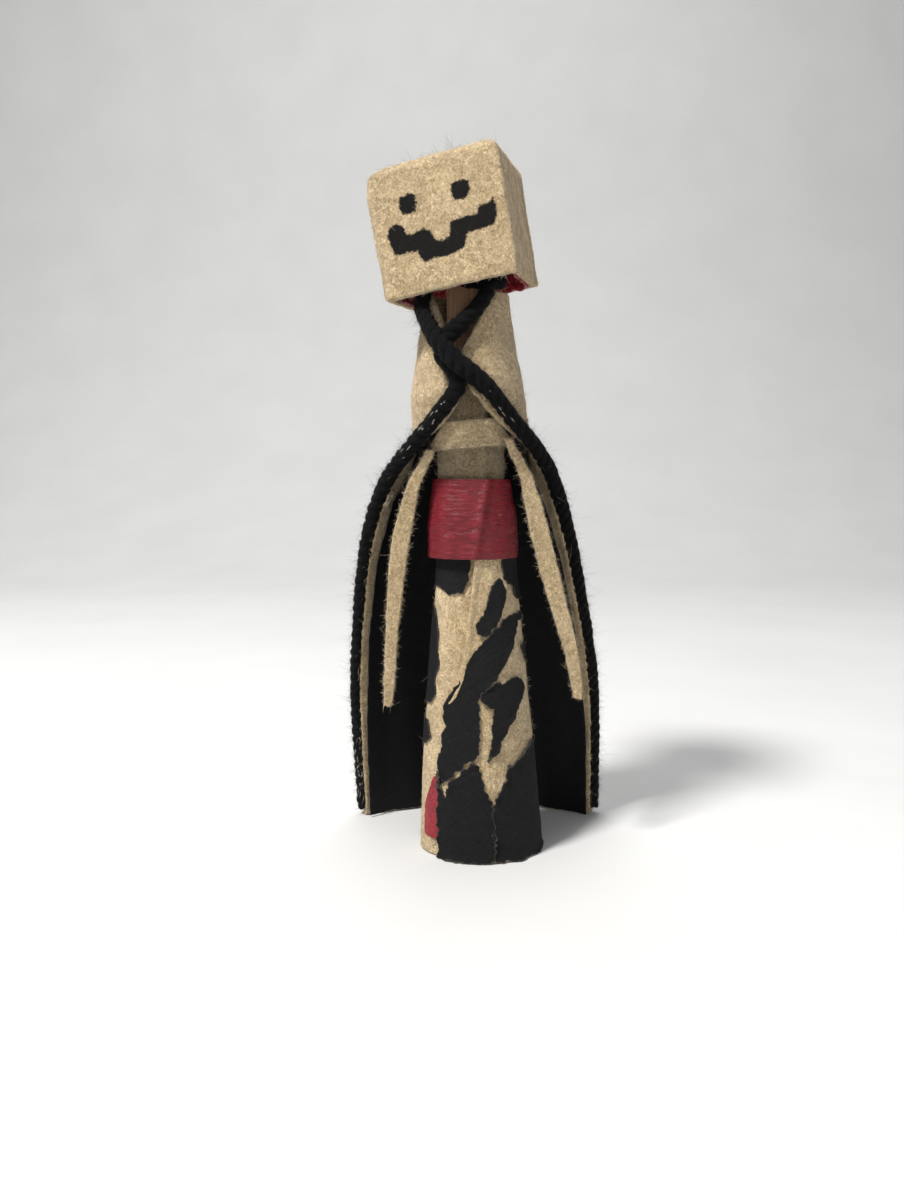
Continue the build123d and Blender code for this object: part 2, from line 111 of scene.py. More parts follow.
def smoothstep(low, high, x):
    t = np.clip((np.asarray(x, float) - low) / (high - low), 0, 1)
    return t * t * (3 - 2 * t)


def eased(x, table, column, reach=4.0):
    """A table's values between its rows, with the corners of the line eased."""
    keys = [row[0] for row in table]
    values = [row[column] for row in table]
    offsets = np.linspace(-reach, reach, 9)
    return np.mean([np.interp(np.asarray(x, float) + o, keys, values) for o in offsets], axis=0)


def steps(low, high, spacing, edge=0.22):
    """Even steps from low to high, with one more close to each end."""
    middle = np.linspace(low, high, max(3, round(abs(high - low) / spacing) + 1))
    side = math.copysign(edge, high - low)
    return np.concatenate([middle[:1], [low + side], middle[1:-1], [high - side], middle[-1:]])


def shares(count, edge=0.012):
    return np.concatenate([[0, edge], np.linspace(0, 1, count)[1:-1], [1 - edge, 1]])


def grid_normals(grid, wrap=False):
    """Unit normals of a grid of points, row by column."""
    if wrap:
        across = np.roll(grid, -1, 1) - np.roll(grid, 1, 1)
    else:
        across = np.gradient(grid, axis=1)
    n = np.cross(across, np.gradient(grid, axis=0))
    return n / np.maximum(np.linalg.norm(n, axis=2, keepdims=True), 1e-9)


def mesh_piece(name, points, faces, materials, kinds=None, values=None, sharp=40):
    mesh = bpy.data.meshes.new(name)
    mesh.from_pydata(placed(points).tolist(), [], faces)
    for m in materials:
        mesh.materials.append(m)
    if kinds is not None:
        mesh.polygons.foreach_set("material_index", np.asarray(kinds, np.int32))
    for key, column in (values or {}).items():
        attribute = mesh.attributes.new(key, "FLOAT", "POINT")
        attribute.data.foreach_set("value", np.asarray(column, np.float32))
    bm = bmesh.new()
    bm.from_mesh(mesh)
    bmesh.ops.recalc_face_normals(bm, faces=bm.faces)
    bm.to_mesh(mesh)
    bm.free()
    mesh.polygons.foreach_set("use_smooth", [True] * len(mesh.polygons))
    mesh.set_sharp_from_angle(angle=math.radians(sharp))
    piece = bpy.data.objects.new(name, mesh)
    scene.collection.objects.link(piece)
    return piece


def two_faced(name, outer, inner, materials, wrap=False, values=None):
    """A sheet with a thickness, from the grids of its two faces, closed round its rim."""
    rows, columns = outer.shape[:2]
    middle = (outer + inner) / 2
    rim = [(0, slice(None)), (-1, slice(None))]
    if not wrap:
        rim += [(slice(None), 0), (slice(None), -1)]
    for spot in rim:
        outer[spot] = middle[spot] + (outer[spot] - middle[spot]) * 0.72
        inner[spot] = middle[spot] + (inner[spot] - middle[spot]) * 0.72
    faces, kinds = [], []

    def v(layer, r, c):
        return (layer * rows + r) * columns + c % columns

    spans = columns if wrap else columns - 1
    for r in range(rows - 1):
        for c in range(spans):
            faces.append((v(0, r, c), v(0, r, c + 1), v(0, r + 1, c + 1), v(0, r + 1, c)))
            faces.append((v(1, r, c), v(1, r + 1, c), v(1, r + 1, c + 1), v(1, r, c + 1)))
            kinds += [0, 1]
    for r in (0, rows - 1):
        for c in range(spans):
            faces.append((v(0, r, c), v(0, r, c + 1), v(1, r, c + 1), v(1, r, c)))
            kinds.append(2)
    for c in () if wrap else (0, columns - 1):
        for r in range(rows - 1):
            faces.append((v(0, r, c), v(0, r + 1, c), v(1, r + 1, c), v(1, r, c)))
            kinds.append(2)
    points = np.concatenate([outer.reshape(-1, 3), inner.reshape(-1, 3)])
    return mesh_piece(name, points, faces, materials, kinds, values)


def felted(outer, inner, seed, swell=0.16, fuzz=0.05, wrap=False):
    """Both faces of a felt sheet, with a shared lumpiness and a fine nap of their own."""
    n = grid_normals(outer, wrap)
    lift = swell * noise_at(outer, 6.0, seed) + 0.5 * swell * noise_at(outer, 2.4, seed + 1)
    for face, own in ((outer, 2), (inner, 3)):
        nap = fuzz * (noise_at(face, 0.9, seed + own) + 0.6 * noise_at(face, 0.5, seed + own + 2))
        face += n * (lift + nap)[..., None]
    return outer, inner


def oval(ovals, z, angle, inset=0.0):
    """Points on a stack of ovals; angle 0 is the figure's left, -90 the front."""
    cx, a, b = (eased(z, ovals, k) for k in (1, 2, 3))
    x = cx + (a - inset) * np.cos(angle)
    y = (b - inset) * np.sin(angle)
    return np.stack(np.broadcast_arrays(x, y, z), axis=-1)


def front_angle(ovals, z, x):
    """The angle where an oval's front passes x; beyond its sides it runs on round the back."""
    cx, a = (eased(z, ovals, k) for k in (1, 2))
    ratio = (np.asarray(x, float) - cx) / a
    inside = -np.arccos(np.clip(ratio, -1, 1))
    beyond = np.maximum(ratio - 1, 0) + np.minimum(ratio + 1, 0)
    return inside + beyond


def depth_inside(spots, outline):
    """How far inside an outline each spot lies; outside it is negative."""
    a = np.array(outline, float)
    b = np.roll(a, -1, 0)
    span = b - a
    t = ((spots[:, None] - a) * span).sum(2) / np.maximum((span**2).sum(1), 1e-9)
    near = a + span * np.clip(t, 0, 1)[..., None]
    gap = np.linalg.norm(spots[:, None] - near, axis=2).min(1)
    above = (a[:, 1] > spots[:, None, 1]) != (b[:, 1] > spots[:, None, 1])
    rise = np.where(span[:, 1] == 0, 1e-9, span[:, 1])
    cross = a[:, 0] + (spots[:, None, 1] - a[:, 1]) * span[:, 0] / rise
    within = (above & (spots[:, None, 0] < cross)).sum(1) % 2 == 1
    return np.where(within, gap, -gap)


def tube(path, radii, sides=8):
    """Points and faces of a closed tube along a path."""
    path = np.asarray(path, float)
    count = len(path)
    radii = np.broadcast_to(radii, count)
    along = np.gradient(path, axis=0)
    along /= np.maximum(np.linalg.norm(along, axis=1, keepdims=True), 1e-9)
    across = np.cross(along[0], (0.31, 0.2, 0.93))
    angles = np.arange(sides) * 2 * math.pi / sides
    rings = []
    for k in range(count):
        across = across - along[k] * (across @ along[k])
        across /= max(np.linalg.norm(across), 1e-9)
        other = np.cross(along[k], across)
        ring = np.outer(np.cos(angles), across) + np.outer(np.sin(angles), other)
        rings.append(path[k] + ring * radii[k])
    points = np.concatenate(rings)
    faces = []
    for k in range(count - 1):
        for s in range(sides):
            t = (s + 1) % sides
            faces.append((k * sides + s, k * sides + t, (k + 1) * sides + t, (k + 1) * sides + s))
    faces.append(tuple(range(sides - 1, -1, -1)))
    faces.append(tuple((count - 1) * sides + s for s in range(sides)))
    return points, faces


def joined(parts):
    points, faces, start = [], [], 0
    for p, f in parts:
        points.append(np.asarray(p))
        faces += [tuple(i + start for i in face) for face in f]
        start += len(p)
    return np.concatenate(points), faces


def fibres(roots, directions, normals, lengths, radius, seed, curl=0.5):
    """Short loose fibres, each a thin three-sided tapering spike with a bend in it."""
    rng = np.random.default_rng(seed)
    count = len(roots)
    bend = rng.normal(size=(count, 3)) * curl * 0.5
    l = np.asarray(lengths)[:, None]
    joints = [roots - normals * 0.05]
    for share in (0.4, 0.75, 1.0):
        joints.append(roots + directions * l * share + bend * l * share * share)
    side = np.cross(directions, rng.normal(size=(count, 3)))
    side /= np.maximum(np.linalg.norm(side, axis=1, keepdims=True), 1e-9)
    other = np.cross(directions, side)
    corners = []
    for k, taper in ((0, 1.0), (1, 0.85), (2, 0.6)):
        for angle in (0, 2.0944, 4.1888):
            ring = side * math.cos(angle) + other * math.sin(angle)
            corners.append(joints[k] + ring * radius * taper)
    corners.append(joints[3])
    points = np.stack(corners, axis=1).reshape(-1, 3)
    pattern = [(2, 1, 0)]
    for k in (0, 3):
        pattern += [(k, k + 1, k + 4, k + 3), (k + 1, k + 2, k + 5, k + 4), (k + 2, k, k + 3, k + 5)]
    pattern += [(6, 7, 9), (7, 8, 9), (8, 6, 9)]
    faces = [tuple(i + 10 * n for i in f) for n in range(count) for f in pattern]
    return points, faces


def nap(
    piece, name, count, length, material, seed,
    lift=0.35, kinds=(0, 2), radius=0.022, curl=0.6, within=None,
):
    """Loose fibres over a piece's faces, as one more piece."""
    rng = np.random.default_rng(seed)
    mesh = piece.data
    polygons = [p for p in mesh.polygons if p.material_index in kinds]
    if within:
        polygons = [p for p in polygons if within((np.array(p.center) - AXIS) / MM)]
    areas = np.array([p.area for p in polygons])
    chosen = rng.choice(len(polygons), size=count, p=areas / areas.sum())
    roots, normals = np.zeros((count, 3)), np.zeros((count, 3))
    for k, i in enumerate(chosen):
        p = polygons[i]
        corners = [np.array(mesh.vertices[v].co) for v in p.vertices]
        weights = rng.dirichlet(np.ones(len(corners)))
        roots[k] = sum(w * c for w, c in zip(weights, corners))
        normals[k] = p.normal
    tangents = np.cross(normals, rng.normal(size=(count, 3)))
    tangents /= np.maximum(np.linalg.norm(tangents, axis=1, keepdims=True), 1e-9)
    directions = tangents + normals * (lift * rng.uniform(0.2, 1.8, size=(count, 1)))
    directions /= np.linalg.norm(directions, axis=1, keepdims=True)
    lengths = rng.gamma(3.0, length / 3.0, size=count).clip(0.2, length * 3)
    points, faces = fibres((roots - AXIS) / MM, directions, normals, lengths, radius, seed + 1, curl)
    points[:, 2] = np.maximum(points[:, 2], 0.03)
    return mesh_piece(name, points, faces, [material], sharp=180)


# ---------------------------------------------------------------- materials
class Finish:
    """A procedural material on one Principled shader; positions are in millimetres."""

    def __init__(self, name):
        self.material = bpy.data.materials.new(name)
        self.material.use_nodes = True
        self.tree = self.material.node_tree
        self.shader = self.tree.nodes["Principled BSDF"]
        self.place = self.node("TexCoord").outputs["Object"]

    def put(self, socket, value):
        if isinstance(value, bpy.types.NodeSocket):
            self.tree.links.new(value, socket)
        else:
            socket.default_value = value

    def node(self, kind, inputs=None, **settings):
        made = self.tree.nodes.new("ShaderNode" + kind)
        for key, value in settings.items():
            setattr(made, key, value)
        for key, value in (inputs or {}).items():
            self.put(made.inputs[key], value)
        return made

    def scaled(self, x=1.0, y=1.0, z=1.0, turn=(0, 0, 0)):
        turned = self.node("Mapping", {"Vector": self.place, "Rotation": turn}, vector_type="POINT")
        size = (x / MM, y / MM, z / MM)
        return self.node("VectorMath", {0: turned.outputs[0], 1: size}, operation="MULTIPLY").outputs[0]

    def noise(self, vector, scale, detail=4.0, rough=0.6, distortion=0.0):
        inputs = {"Vector": vector, "Scale": scale, "Detail": detail}
        inputs |= {"Roughness": rough, "Distortion": distortion}
        return self.node("TexNoise", inputs).outputs["Fac"]

    def math(self, operation, a, b=0.0, c=0.0, clamp=False):
        return self.node("Math", {0: a, 1: b, 2: c}, operation=operation, use_clamp=clamp).outputs[0]

    def ramp(self, factor, stops):
        made = self.node("ValToRGB", {"Fac": factor})
        elements = made.color_ramp.elements
        while len(elements) < len(stops):
            elements.new(0.5)
        for element, (position, colour) in zip(elements, stops):
            element.position = position
            element.color = (*colour, 1)
        return made.outputs["Color"]

    def mix(self, factor, a, b, blend="MIX"):
        made = self.node("Mix", data_type="RGBA", blend_type=blend)
        for socket, value in ((made.inputs[0], factor), (made.inputs[6], a), (made.inputs[7], b)):
            if isinstance(value, tuple):
                value = (*value, 1)
            self.put(socket, value)
        return made.outputs[2]

    def bump(self, height, depth, strength=1.0, before=None):
        inputs = {"Height": height, "Distance": depth * MM, "Strength": strength}
        if before:
            inputs["Normal"] = before
        return self.node("Bump", inputs).outputs[0]

    def set(self, **inputs):
        for key, value in inputs.items():
            if isinstance(value, tuple):
                value = (*value, 1) if len(value) == 3 else value
            self.put(self.shader.inputs[key.replace("_", " ")], value)
        return self.material


def felt_finish(name, along=None, ink=False, tone=1.0):
    """Tan craft felt: matted fibres in several tans, mottled, with a soft nap."""
    f = Finish(name)
    if along:
        fine = f.noise(f.scaled(*along), 1.0, 6, 0.65, 0.6)
    else:
        fine = f.noise(f.scaled(), 1.5, 6, 0.68, 1.6)
    threads = f.noise(f.scaled(turn=(0.4, 0.7, 0.2)), 3.6, 3, 0.5, 2.6)
    patches = f.noise(f.scaled(), 0.17, 3, 0.5, 0.4)
    colour = f.ramp(fine, [
        (0.30, (0.255 * tone, 0.172 * tone, 0.088 * tone)),
        (0.43, (0.520 * tone, 0.388 * tone, 0.222 * tone)),
        (0.56, (0.720 * tone, 0.575 * tone, 0.362 * tone)),
        (0.70, (0.930 * tone, 0.810 * tone, 0.590 * tone)),
    ])
    light = f.ramp(threads, [(0.32, (0.60, 0.56, 0.51)), (0.5, (1.0, 1.0, 1.0)), (0.68, (1.24, 1.24, 1.22))])
    colour = f.mix(0.9, colour, light, "MULTIPLY")
    mottle = f.noise(f.scaled(turn=(0.2, 0.1, 0.9)), 0.75, 4, 0.6, 0.9)
    mottled = f.ramp(mottle, [(0.34, (0.78, 0.75, 0.71)), (0.62, (1.10, 1.10, 1.09))])
    colour = f.mix(1.0, colour, mottled, "MULTIPLY")
    if along:
        # the low groove lines along the grain, which the bump also sinks, are darkened: painted shade in the
        # grooves
        grooves = f.noise(f.scaled(1.3, 1.3, 0.07), 1.0, 3, 0.55, 0.3)
        painted_groove_shade = f.ramp(grooves, [(0.34, (0.66, 0.62, 0.57)), (0.54, (1.05, 1.04, 1.03))])
        colour = f.mix(1.0, colour, painted_groove_shade, "MULTIPLY")
        fine = f.math("ADD", fine, f.math("MULTIPLY", grooves, 0.4))
    broad = f.ramp(patches, [(0.3, (0.88, 0.85, 0.80)), (0.7, (1.08, 1.07, 1.06))])
    colour = f.mix(1.0, colour, broad, "MULTIPLY")
    height = f.math("ADD", f.math("MULTIPLY", fine, 0.7), f.math("MULTIPLY", threads, 0.5))
    normal = f.bump(height, 0.55, 1.0)
    sheen = 0.28
    if ink:
        soak = f.noise(f.scaled(), 2.6, 4, 0.65, 1.2)
        reach = f.node("Attribute", attribute_name="ink").outputs["Fac"]
        wet = f.math("ADD", reach, f.math("MULTIPLY", f.math("SUBTRACT", soak, 0.5), 1.5))
        edge = f.node("MapRange", {"Value": wet, "From Min": -0.10, "From Max": 0.16}).outputs[0]
        bare = f.node("MapRange", {"Value": fine, "From Min": 0.58, "From Max": 0.78}).outputs[0]
        black = f.mix(bare, (0.013, 0.0125, 0.012), (0.075, 0.065, 0.050))
        colour = f.mix(edge, colour, black)
        sheen = f.math("MULTIPLY", f.math("SUBTRACT", 1.0, edge), sheen)
    return f.set(
        Base_Color=colour, Roughness=0.95, Normal=normal,
        Sheen_Weight=sheen, Sheen_Roughness=0.45, Specular_IOR_Level=0.12,
    )


def cloth_tape_finish(name, dark, pale, weave, rough, gloss, scuff):
    """Smooth cloth tape: a fine weave, faint creases and a few pale scuffs."""
    f = Finish(name)
    creases = f.noise(f.scaled(turn=(0.3, 0.1, 0.6)), 0.55, 5, 0.6, 0.7)
    dust = f.noise(f.scaled(), 1.9, 5, 0.7, 0.5)
    where = f.node("MapRange", {"Value": dust, "From Min": 0.62, "From Max": 0.86}).outputs[0]
    colour = f.mix(f.math("MULTIPLY", where, scuff), dark, pale)
    lines = []
    for turn in ((0, 0, 0), (0, 1.5708, 0)):
        wave = {"Vector": f.scaled(turn=turn), "Scale": weave, "Distortion": 0.7, "Detail": 1.0}
        lines.append(f.node("TexWave", wave, bands_direction="X").outputs["Fac"])
    cloth = f.math("MULTIPLY", f.math("ADD", lines[0], lines[1]), 0.5)
    normal = f.bump(cloth, 0.05, 0.35)
    normal = f.bump(creases, 0.5, 0.5, normal)
    spread = {"Value": creases, "To Min": rough - 0.1, "To Max": rough + 0.12}
    finish_rough = f.node("MapRange", spread).outputs[0]
    return f.set(Base_Color=colour, Roughness=finish_rough, Normal=normal, Specular_IOR_Level=gloss)


def torn_tape_finish(name):
    """Matte black torn tape, with slanting fibres and a frayed greyish rim."""
    f = Finish(name)
    slant = f.noise(f.scaled(0.5, 0.5, 3.2, turn=(0, 0.62, 0)), 1.1, 5, 0.6, 0.3)
    dust = f.noise(f.scaled(), 1.3, 6, 0.75, 0.8)
    colour = f.ramp(dust, [
        (0.35, (0.0045, 0.0045, 0.005)),
        (0.62, (0.009, 0.009, 0.0095)),
        (0.85, (0.035, 0.034, 0.032)),
    ])
    rim = f.node("Attribute", attribute_name="rim").outputs["Fac"]
    frayed = f.math("ADD", rim, f.math("MULTIPLY", f.math("SUBTRACT", dust, 0.5), 0.5))
    fray = f.node("MapRange", {"Value": frayed, "From Min": 0.16, "From Max": -0.02}).outputs[0]
    colour = f.mix(f.math("MULTIPLY", fray, 0.5), colour, (0.12, 0.105, 0.085))
    normal = f.bump(f.math("ADD", slant, f.math("MULTIPLY", dust, 0.5)), 0.45, 0.8)
    return f.set(Base_Color=colour, Roughness=0.7, Normal=normal, Specular_IOR_Level=0.16)


def red_tape_finish(name, stretch, rough=0.34, deep=1.0):
    """Crinkled red tape with a soft gloss; deep scales all its colours down, which on the sash is painted
    shade.
    """
    f = Finish(name)
    fine = f.noise(f.scaled(*stretch), 1.0, 6, 0.66, 0.5)
    broad = f.noise(f.scaled(), 0.32, 4, 0.55, 0.8)
    colour = f.ramp(fine, [
        (0.28, (0.155 * deep, 0.006 * deep, 0.012 * deep)),
        (0.50, (0.285 * deep, 0.012 * deep, 0.024 * deep)),
        (0.74, (0.480 * deep, 0.035 * deep, 0.055 * deep)),
    ])
    shade = f.ramp(broad, [(0.3, (0.8, 0.78, 0.8)), (0.7, (1.12, 1.1, 1.1))])
    colour = f.mix(1.0, colour, shade, "MULTIPLY")
    normal = f.bump(fine, 0.22, 0.55)
    normal = f.bump(broad, 0.8, 0.35, normal)
    spread = {"Value": fine, "To Min": rough - 0.08, "To Max": rough + 0.2}
    finish_rough = f.node("MapRange", spread).outputs[0]
    return f.set(
        Base_Color=colour, Roughness=finish_rough, Normal=normal,
        Specular_IOR_Level=0.35, Coat_Weight=0.06, Coat_Roughness=0.3,
    )


def yarn_finish(name):
    f = Finish(name)
    hair = f.noise(f.scaled(), 2.3, 5, 0.7, 2.2)
    colour = f.ramp(hair, [
        (0.35, (0.0016, 0.0016, 0.0020)),
        (0.6, (0.0040, 0.0040, 0.0046)),
        (0.8, (0.020, 0.020, 0.022)),
    ])
    normal = f.bump(hair, 0.5, 1.0)
    return f.set(
        Base_Color=colour, Roughness=0.62, Normal=normal,
        Specular_IOR_Level=0.12, Sheen_Weight=0.01, Sheen_Roughness=0.4,
    )


def wood_finish(name):
    f = Finish(name)
    grain = f.noise(f.scaled(4.0, 4.0, 0.16), 1.0, 5, 0.6, 0.5)
    pores = f.noise(f.scaled(9.0, 9.0, 0.5), 1.0, 3, 0.6, 0.2)
    colour = f.ramp(grain, [
        (0.3, (0.20, 0.105, 0.050)),
        (0.52, (0.31, 0.175, 0.090)),
        (0.75, (0.42, 0.26, 0.145)),
    ])
    colour = f.mix(0.5, colour, f.ramp(pores, [(0.35, (0.6, 0.55, 0.5)), (0.5, (1.0, 1.0, 1.0))]), "MULTIPLY")
    return f.set(
        Base_Color=colour, Roughness=0.55, Normal=f.bump(f.math("ADD", grain, pores), 0.12, 0.5),
        Specular_IOR_Level=0.35,
    )


def glue_finish(name, scale, detail, rough, distortion, stops, gloss, depth, clear):
    """Set hot glue: cloudy, shiny, and partly see-through."""
    f = Finish(name)
    cloud = f.noise(f.scaled(), scale, detail, rough, distortion)
    return f.set(
        Base_Color=f.ramp(cloud, stops), Roughness=gloss, Normal=f.bump(cloud, 0.3, depth),
        Transmission_Weight=clear, IOR=1.47,
    )


def fibre_finish(name, dark, pale, sheen):
    f = Finish(name)
    tone = f.noise(f.scaled(), 0.9, 3, 0.6)
    colour = f.ramp(tone, [(0.35, dark), (0.65, pale)])
    return f.set(
        Base_Color=colour, Roughness=0.85, Normal=f.bump(tone, 0.02, 0.3),
        Specular_IOR_Level=0.15, Sheen_Weight=sheen,
    )


felt = felt_finish("tan_felt")
# a slightly darker copy of the felt for the cut edges: painted shade on the edges
felt_cut = felt_finish("tan_felt_cut_edge", tone=0.92)
felt_face = felt_finish("tan_felt_face", ink=True)
# felt with real grain along it and painted shade in its grooves, for the head's sides
felt_grain_and_groove_shade = felt_finish("tan_felt_grain_and_groove_shade", along=(2.6, 2.6, 0.34))
# half-tone felt for the torso: painted shade from the cloak and head above it
felt_shaded = felt_finish("tan_felt_painted_shade", tone=0.5)
lining = cloth_tape_finish(
    "black_lining", dark=(0.0042, 0.0042, 0.0046), pale=(0.03, 0.03, 0.03),
    weave=1.4, rough=0.66, gloss=0.16, scuff=0.35,
)
torn = torn_tape_finish("torn_black_tape")
# deep=0.5 darkens the sash's red: painted shade from the head and cloak above it
red_sash = red_tape_finish("red_sash_tape", (0.5, 0.5, 3.6), deep=0.5)
red_lining = red_tape_finish("red_lining_tape", (1.6, 1.6, 1.6), 0.3, deep=0.8)
yarn = yarn_finish("black_yarn")
wood = wood_finish("birch_wood")
glue = glue_finish(
    "hot_glue", 0.9, 4, 0.6, 0.5, [(0.3, (0.62, 0.58, 0.47)), (0.7, (0.86, 0.84, 0.77))], 0.22, 0.5, 0.72
)
STAINS = [(0.35, (0.06, 0.05, 0.035)), (0.55, (0.20, 0.16, 0.10)), (0.75, (0.48, 0.42, 0.32))]
stained_glue = glue_finish("stained_glue", 1.6, 5, 0.65, 1.0, STAINS, 0.35, 0.7, 0.25)
tan_fibre = fibre_finish("tan_fibre", (0.42, 0.31, 0.18), (0.78, 0.67, 0.48), 0.3)
black_fibre = fibre_finish("black_fibre", (0.003, 0.003, 0.0035), (0.010, 0.010, 0.011), 0.01)
pale_fibre = fibre_finish("pale_fibre", (0.5, 0.47, 0.42), (0.8, 0.78, 0.74), 0.2)

FELT_FACES, LINING_FACES = [felt, felt, felt_cut], [lining, lining, torn]
wood_parts = [o for o in scene.objects if o.type == "MESH" and o.name.startswith("spine_stick")]
for o in wood_parts:
    o.data.materials.clear()
    o.data.materials.append(wood)


# ---------------------------------------------------------------- camera, floor and light
CAMERA_SPOT, CAMERA_TILT, CAMERA_LENS = (-3.8, -173.4, 74.2), 8, 27.03  # tilt in degrees, downwards
camera_data = bpy.data.cameras.new("camera")
camera_data.sensor_width = 36
camera_data.lens = CAMERA_LENS
camera_data.clip_start = 0.01
camera = bpy.data.objects.new("camera", camera_data)
scene.collection.objects.link(camera)
camera.location = placed(CAMERA_SPOT)[0]
camera.rotation_euler = (math.radians(90 - CAMERA_TILT), 0, 0)
scene.camera = camera

floor_finish = Finish("pale_sweep")
dapple = floor_finish.noise(floor_finish.scaled(), 0.02, 3, 0.5)
sweep_colour = floor_finish.ramp(dapple, [(0.3, (0.585, 0.585, 0.582)), (0.7, (0.612, 0.612, 0.609))])
floor_finish.set(Base_Color=sweep_colour, Roughness=0.8, Specular_IOR_Level=0.2)
profile = [(-900.0, 0.0), (420.0, 0.0)]
for k in range(1, 13):
    bend = math.radians(7.5 * k)
    profile.append((420 + 380 * math.sin(bend), 380 * (1 - math.cos(bend))))
profile.append((800.0, 1500.0))
sweep_points = [(x, y, z - 0.02) for y, z in profile for x in (-1500.0, 1500.0)]
sweep_faces = [(2 * k, 2 * k + 1, 2 * k + 3, 2 * k + 2) for k in range(len(profile) - 1)]
sweep = mesh_piece("sweep", sweep_points, sweep_faces, [floor_finish.material])


def soft_light(name, position, target, width, power, colour):
    data = bpy.data.lights.new(name, "AREA")
    data.shape = "DISK"
    data.size = width * MM
    data.energy = power
    data.color = colour
    lamp = bpy.data.objects.new(name, data)
    scene.collection.objects.link(lamp)
    lamp.location = placed(position)[0]
    aim = Vector(placed(target)[0] - placed(position)[0])
    lamp.rotation_euler = aim.to_track_quat("-Z", "Y").to_euler()
    return lamp


soft_light("key", (-330, -270, 700), (0, 0, 60), 130, 8.6, (1.0, 0.985, 0.955))
soft_light("fill", (160, -620, 260), (0, 0, 70), 420, 0.7, (0.96, 0.98, 1.0))
soft_light("top", (0, 260, 900), (0, 120, 0), 600, 3.6, (1.0, 1.0, 1.0))
world = bpy.data.worlds.new("room")
scene.world = world
world.use_nodes = True
world.node_tree.nodes["Background"].inputs["Color"].default_value = (0.93, 0.945, 0.97, 1)
world.node_tree.nodes["Background"].inputs["Strength"].default_value = 0.30
scene.view_settings.view_transform = "Standard"


def hang(piece):
    """A piece whose placement is baked into its mesh."""
    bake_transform(piece)


def carried(piece, body, slot, *nodes):
    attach(piece, body)
    if nodes:
        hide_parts(*nodes)
    return piece


def furred(piece, name, body, count, length, seed, **how):
    """A nap of tan fibres on a felt piece, on the body that carries it."""
    return carried(nap(piece, name, count, length, tan_fibre, seed, **how), body, "tan_felt")


# ---------------------------------------------------------------- the cloak
def cloak_row(z, side, s, inset):
    """Points of one half of the cloak at height z, from its front edge to the middle back."""
    if z <= 88:
        lx, ly, bx, by, rx, ry = (float(eased(z, CAPE_SECTIONS, k, 2.5)) for k in range(1, 7))
        d = 2 * (lx * (by - ry) + bx * (ry - ly) + rx * (ly - by))
        ll, bb, rr = lx**2 + ly**2, bx**2 + by**2, rx**2 + ry**2
        cx = (ll * (by - ry) + bb * (ry - ly) + rr * (ly - by)) / d
        cy = (ll * (rx - bx) + bb * (lx - rx) + rr * (bx - lx)) / d
        radius = math.hypot(bx - cx, by - cy)
        ex, ey = (lx, ly) if side < 0 else (rx, ry)
        edge = math.atan2(ey - cy, ex - cx)
        if side < 0:
            edge %= 2 * math.pi
        back = math.atan2(by - cy, bx - cx)
        angles = edge + (back - edge) * s
        x, y = cx + (radius - inset) * np.cos(angles), cy + (radius - inset) * np.sin(angles)
    else:
        cx, cy, a, b = (float(eased(z, YOKE_OVALS, k, 2.5)) for k in range(1, 5))
        keys = NECK_EDGES[side]
        x_edge = np.interp(z, [k[0] for k in keys], [k[1] for k in keys])
        turn = math.acos(max(-1.0, min(1.0, (x_edge - cx) / a)))
        edge = 2 * math.pi - turn if side < 0 else -turn
        angles = edge + (math.pi / 2 - edge) * s
        x, y = cx + (a - inset) * np.cos(angles), cy + (b - inset) * np.sin(angles)
    return np.stack([x, y, np.full_like(x, z)], axis=1)


def cloak_grid(side, heights, s, inset):
    grid = np.stack([cloak_row(z, side, s, inset) for z in heights])
    n = np.stack([grid[..., 0] * 0.35, np.ones(grid.shape[:2]), np.zeros(grid.shape[:2])], axis=2)
    n /= np.linalg.norm(n, axis=2, keepdims=True)
    hang_down = (1 - np.clip(grid[..., 2] / 72, 0, 1)) ** 1.3
    wave = np.sin(2 * math.pi * (2.1 * s[None, :] + 0.13 * side) + grid[..., 2] * 0.02)
    off_edge = smoothstep(0.06, 0.35, s)[None, :] * (1 - smoothstep(0.9, 1.0, s)[None, :])
    return grid + n * (0.75 * wave * hang_down * off_edge)[..., None]


# The cord from the head's left crosses in front at the throat and edges the right flap.
RIGHT_CORD = [
    (-8.4, -2.0, 108), (-9.7, -3.3, 104.6), (-8.4, -6.4, 101.4), (-7.1, -9.5, 98.6),
    (-5.4, -10.8, 96.0), (-2.7, -11.3, 93.3), (0.7, -10.9, 90.9), (3.6, -9.9, 88.2),
    (5.6, -8.9, 85.6), (8.3, -7.2, 82.7), (11.5, -4.3, 79.3), (14.2, -1.2, 75.9), (15.4, 0.9, 73.4),
    (17.1, 3.1, 69.5), (19.5, 5.8, 62), (21.6, 8.4, 53), (24.0, 11.4, 42), (26.2, 14.4, 30),
    (26.8, 16.0, 15.5), (27.1, 17.4, 1.4),
]
LEFT_CORD = [
    (2.6, -2.8, 111.6), (3.2, -4.7, 107.6), (0.8, -6.0, 103.6), (-2.6, -7.0, 100.4), (-5.4, -7.7, 97.8),
    (-5.7, -8.2, 95.0), (-3.3, -8.7, 92.6), (-2.4, -9.4, 90.0), (-4.1, -9.6, 87.4), (-6.6, -8.6, 84.4),
    (-8.8, -7.1, 82.0), (-11.2, -4.7, 79.3), (-14.1, -1.7, 76), (-15.9, 0.8, 73.7), (-17.9, 3.2, 70.1),
    (-20.6, 6.0, 62.1), (-22.2, 8.8, 52.5), (-23.3, 11.7, 41.5), (-24.3, 14.4, 29), (-23.8, 15.7, 15),
    (-23.2, 16.9, 1.4),
]


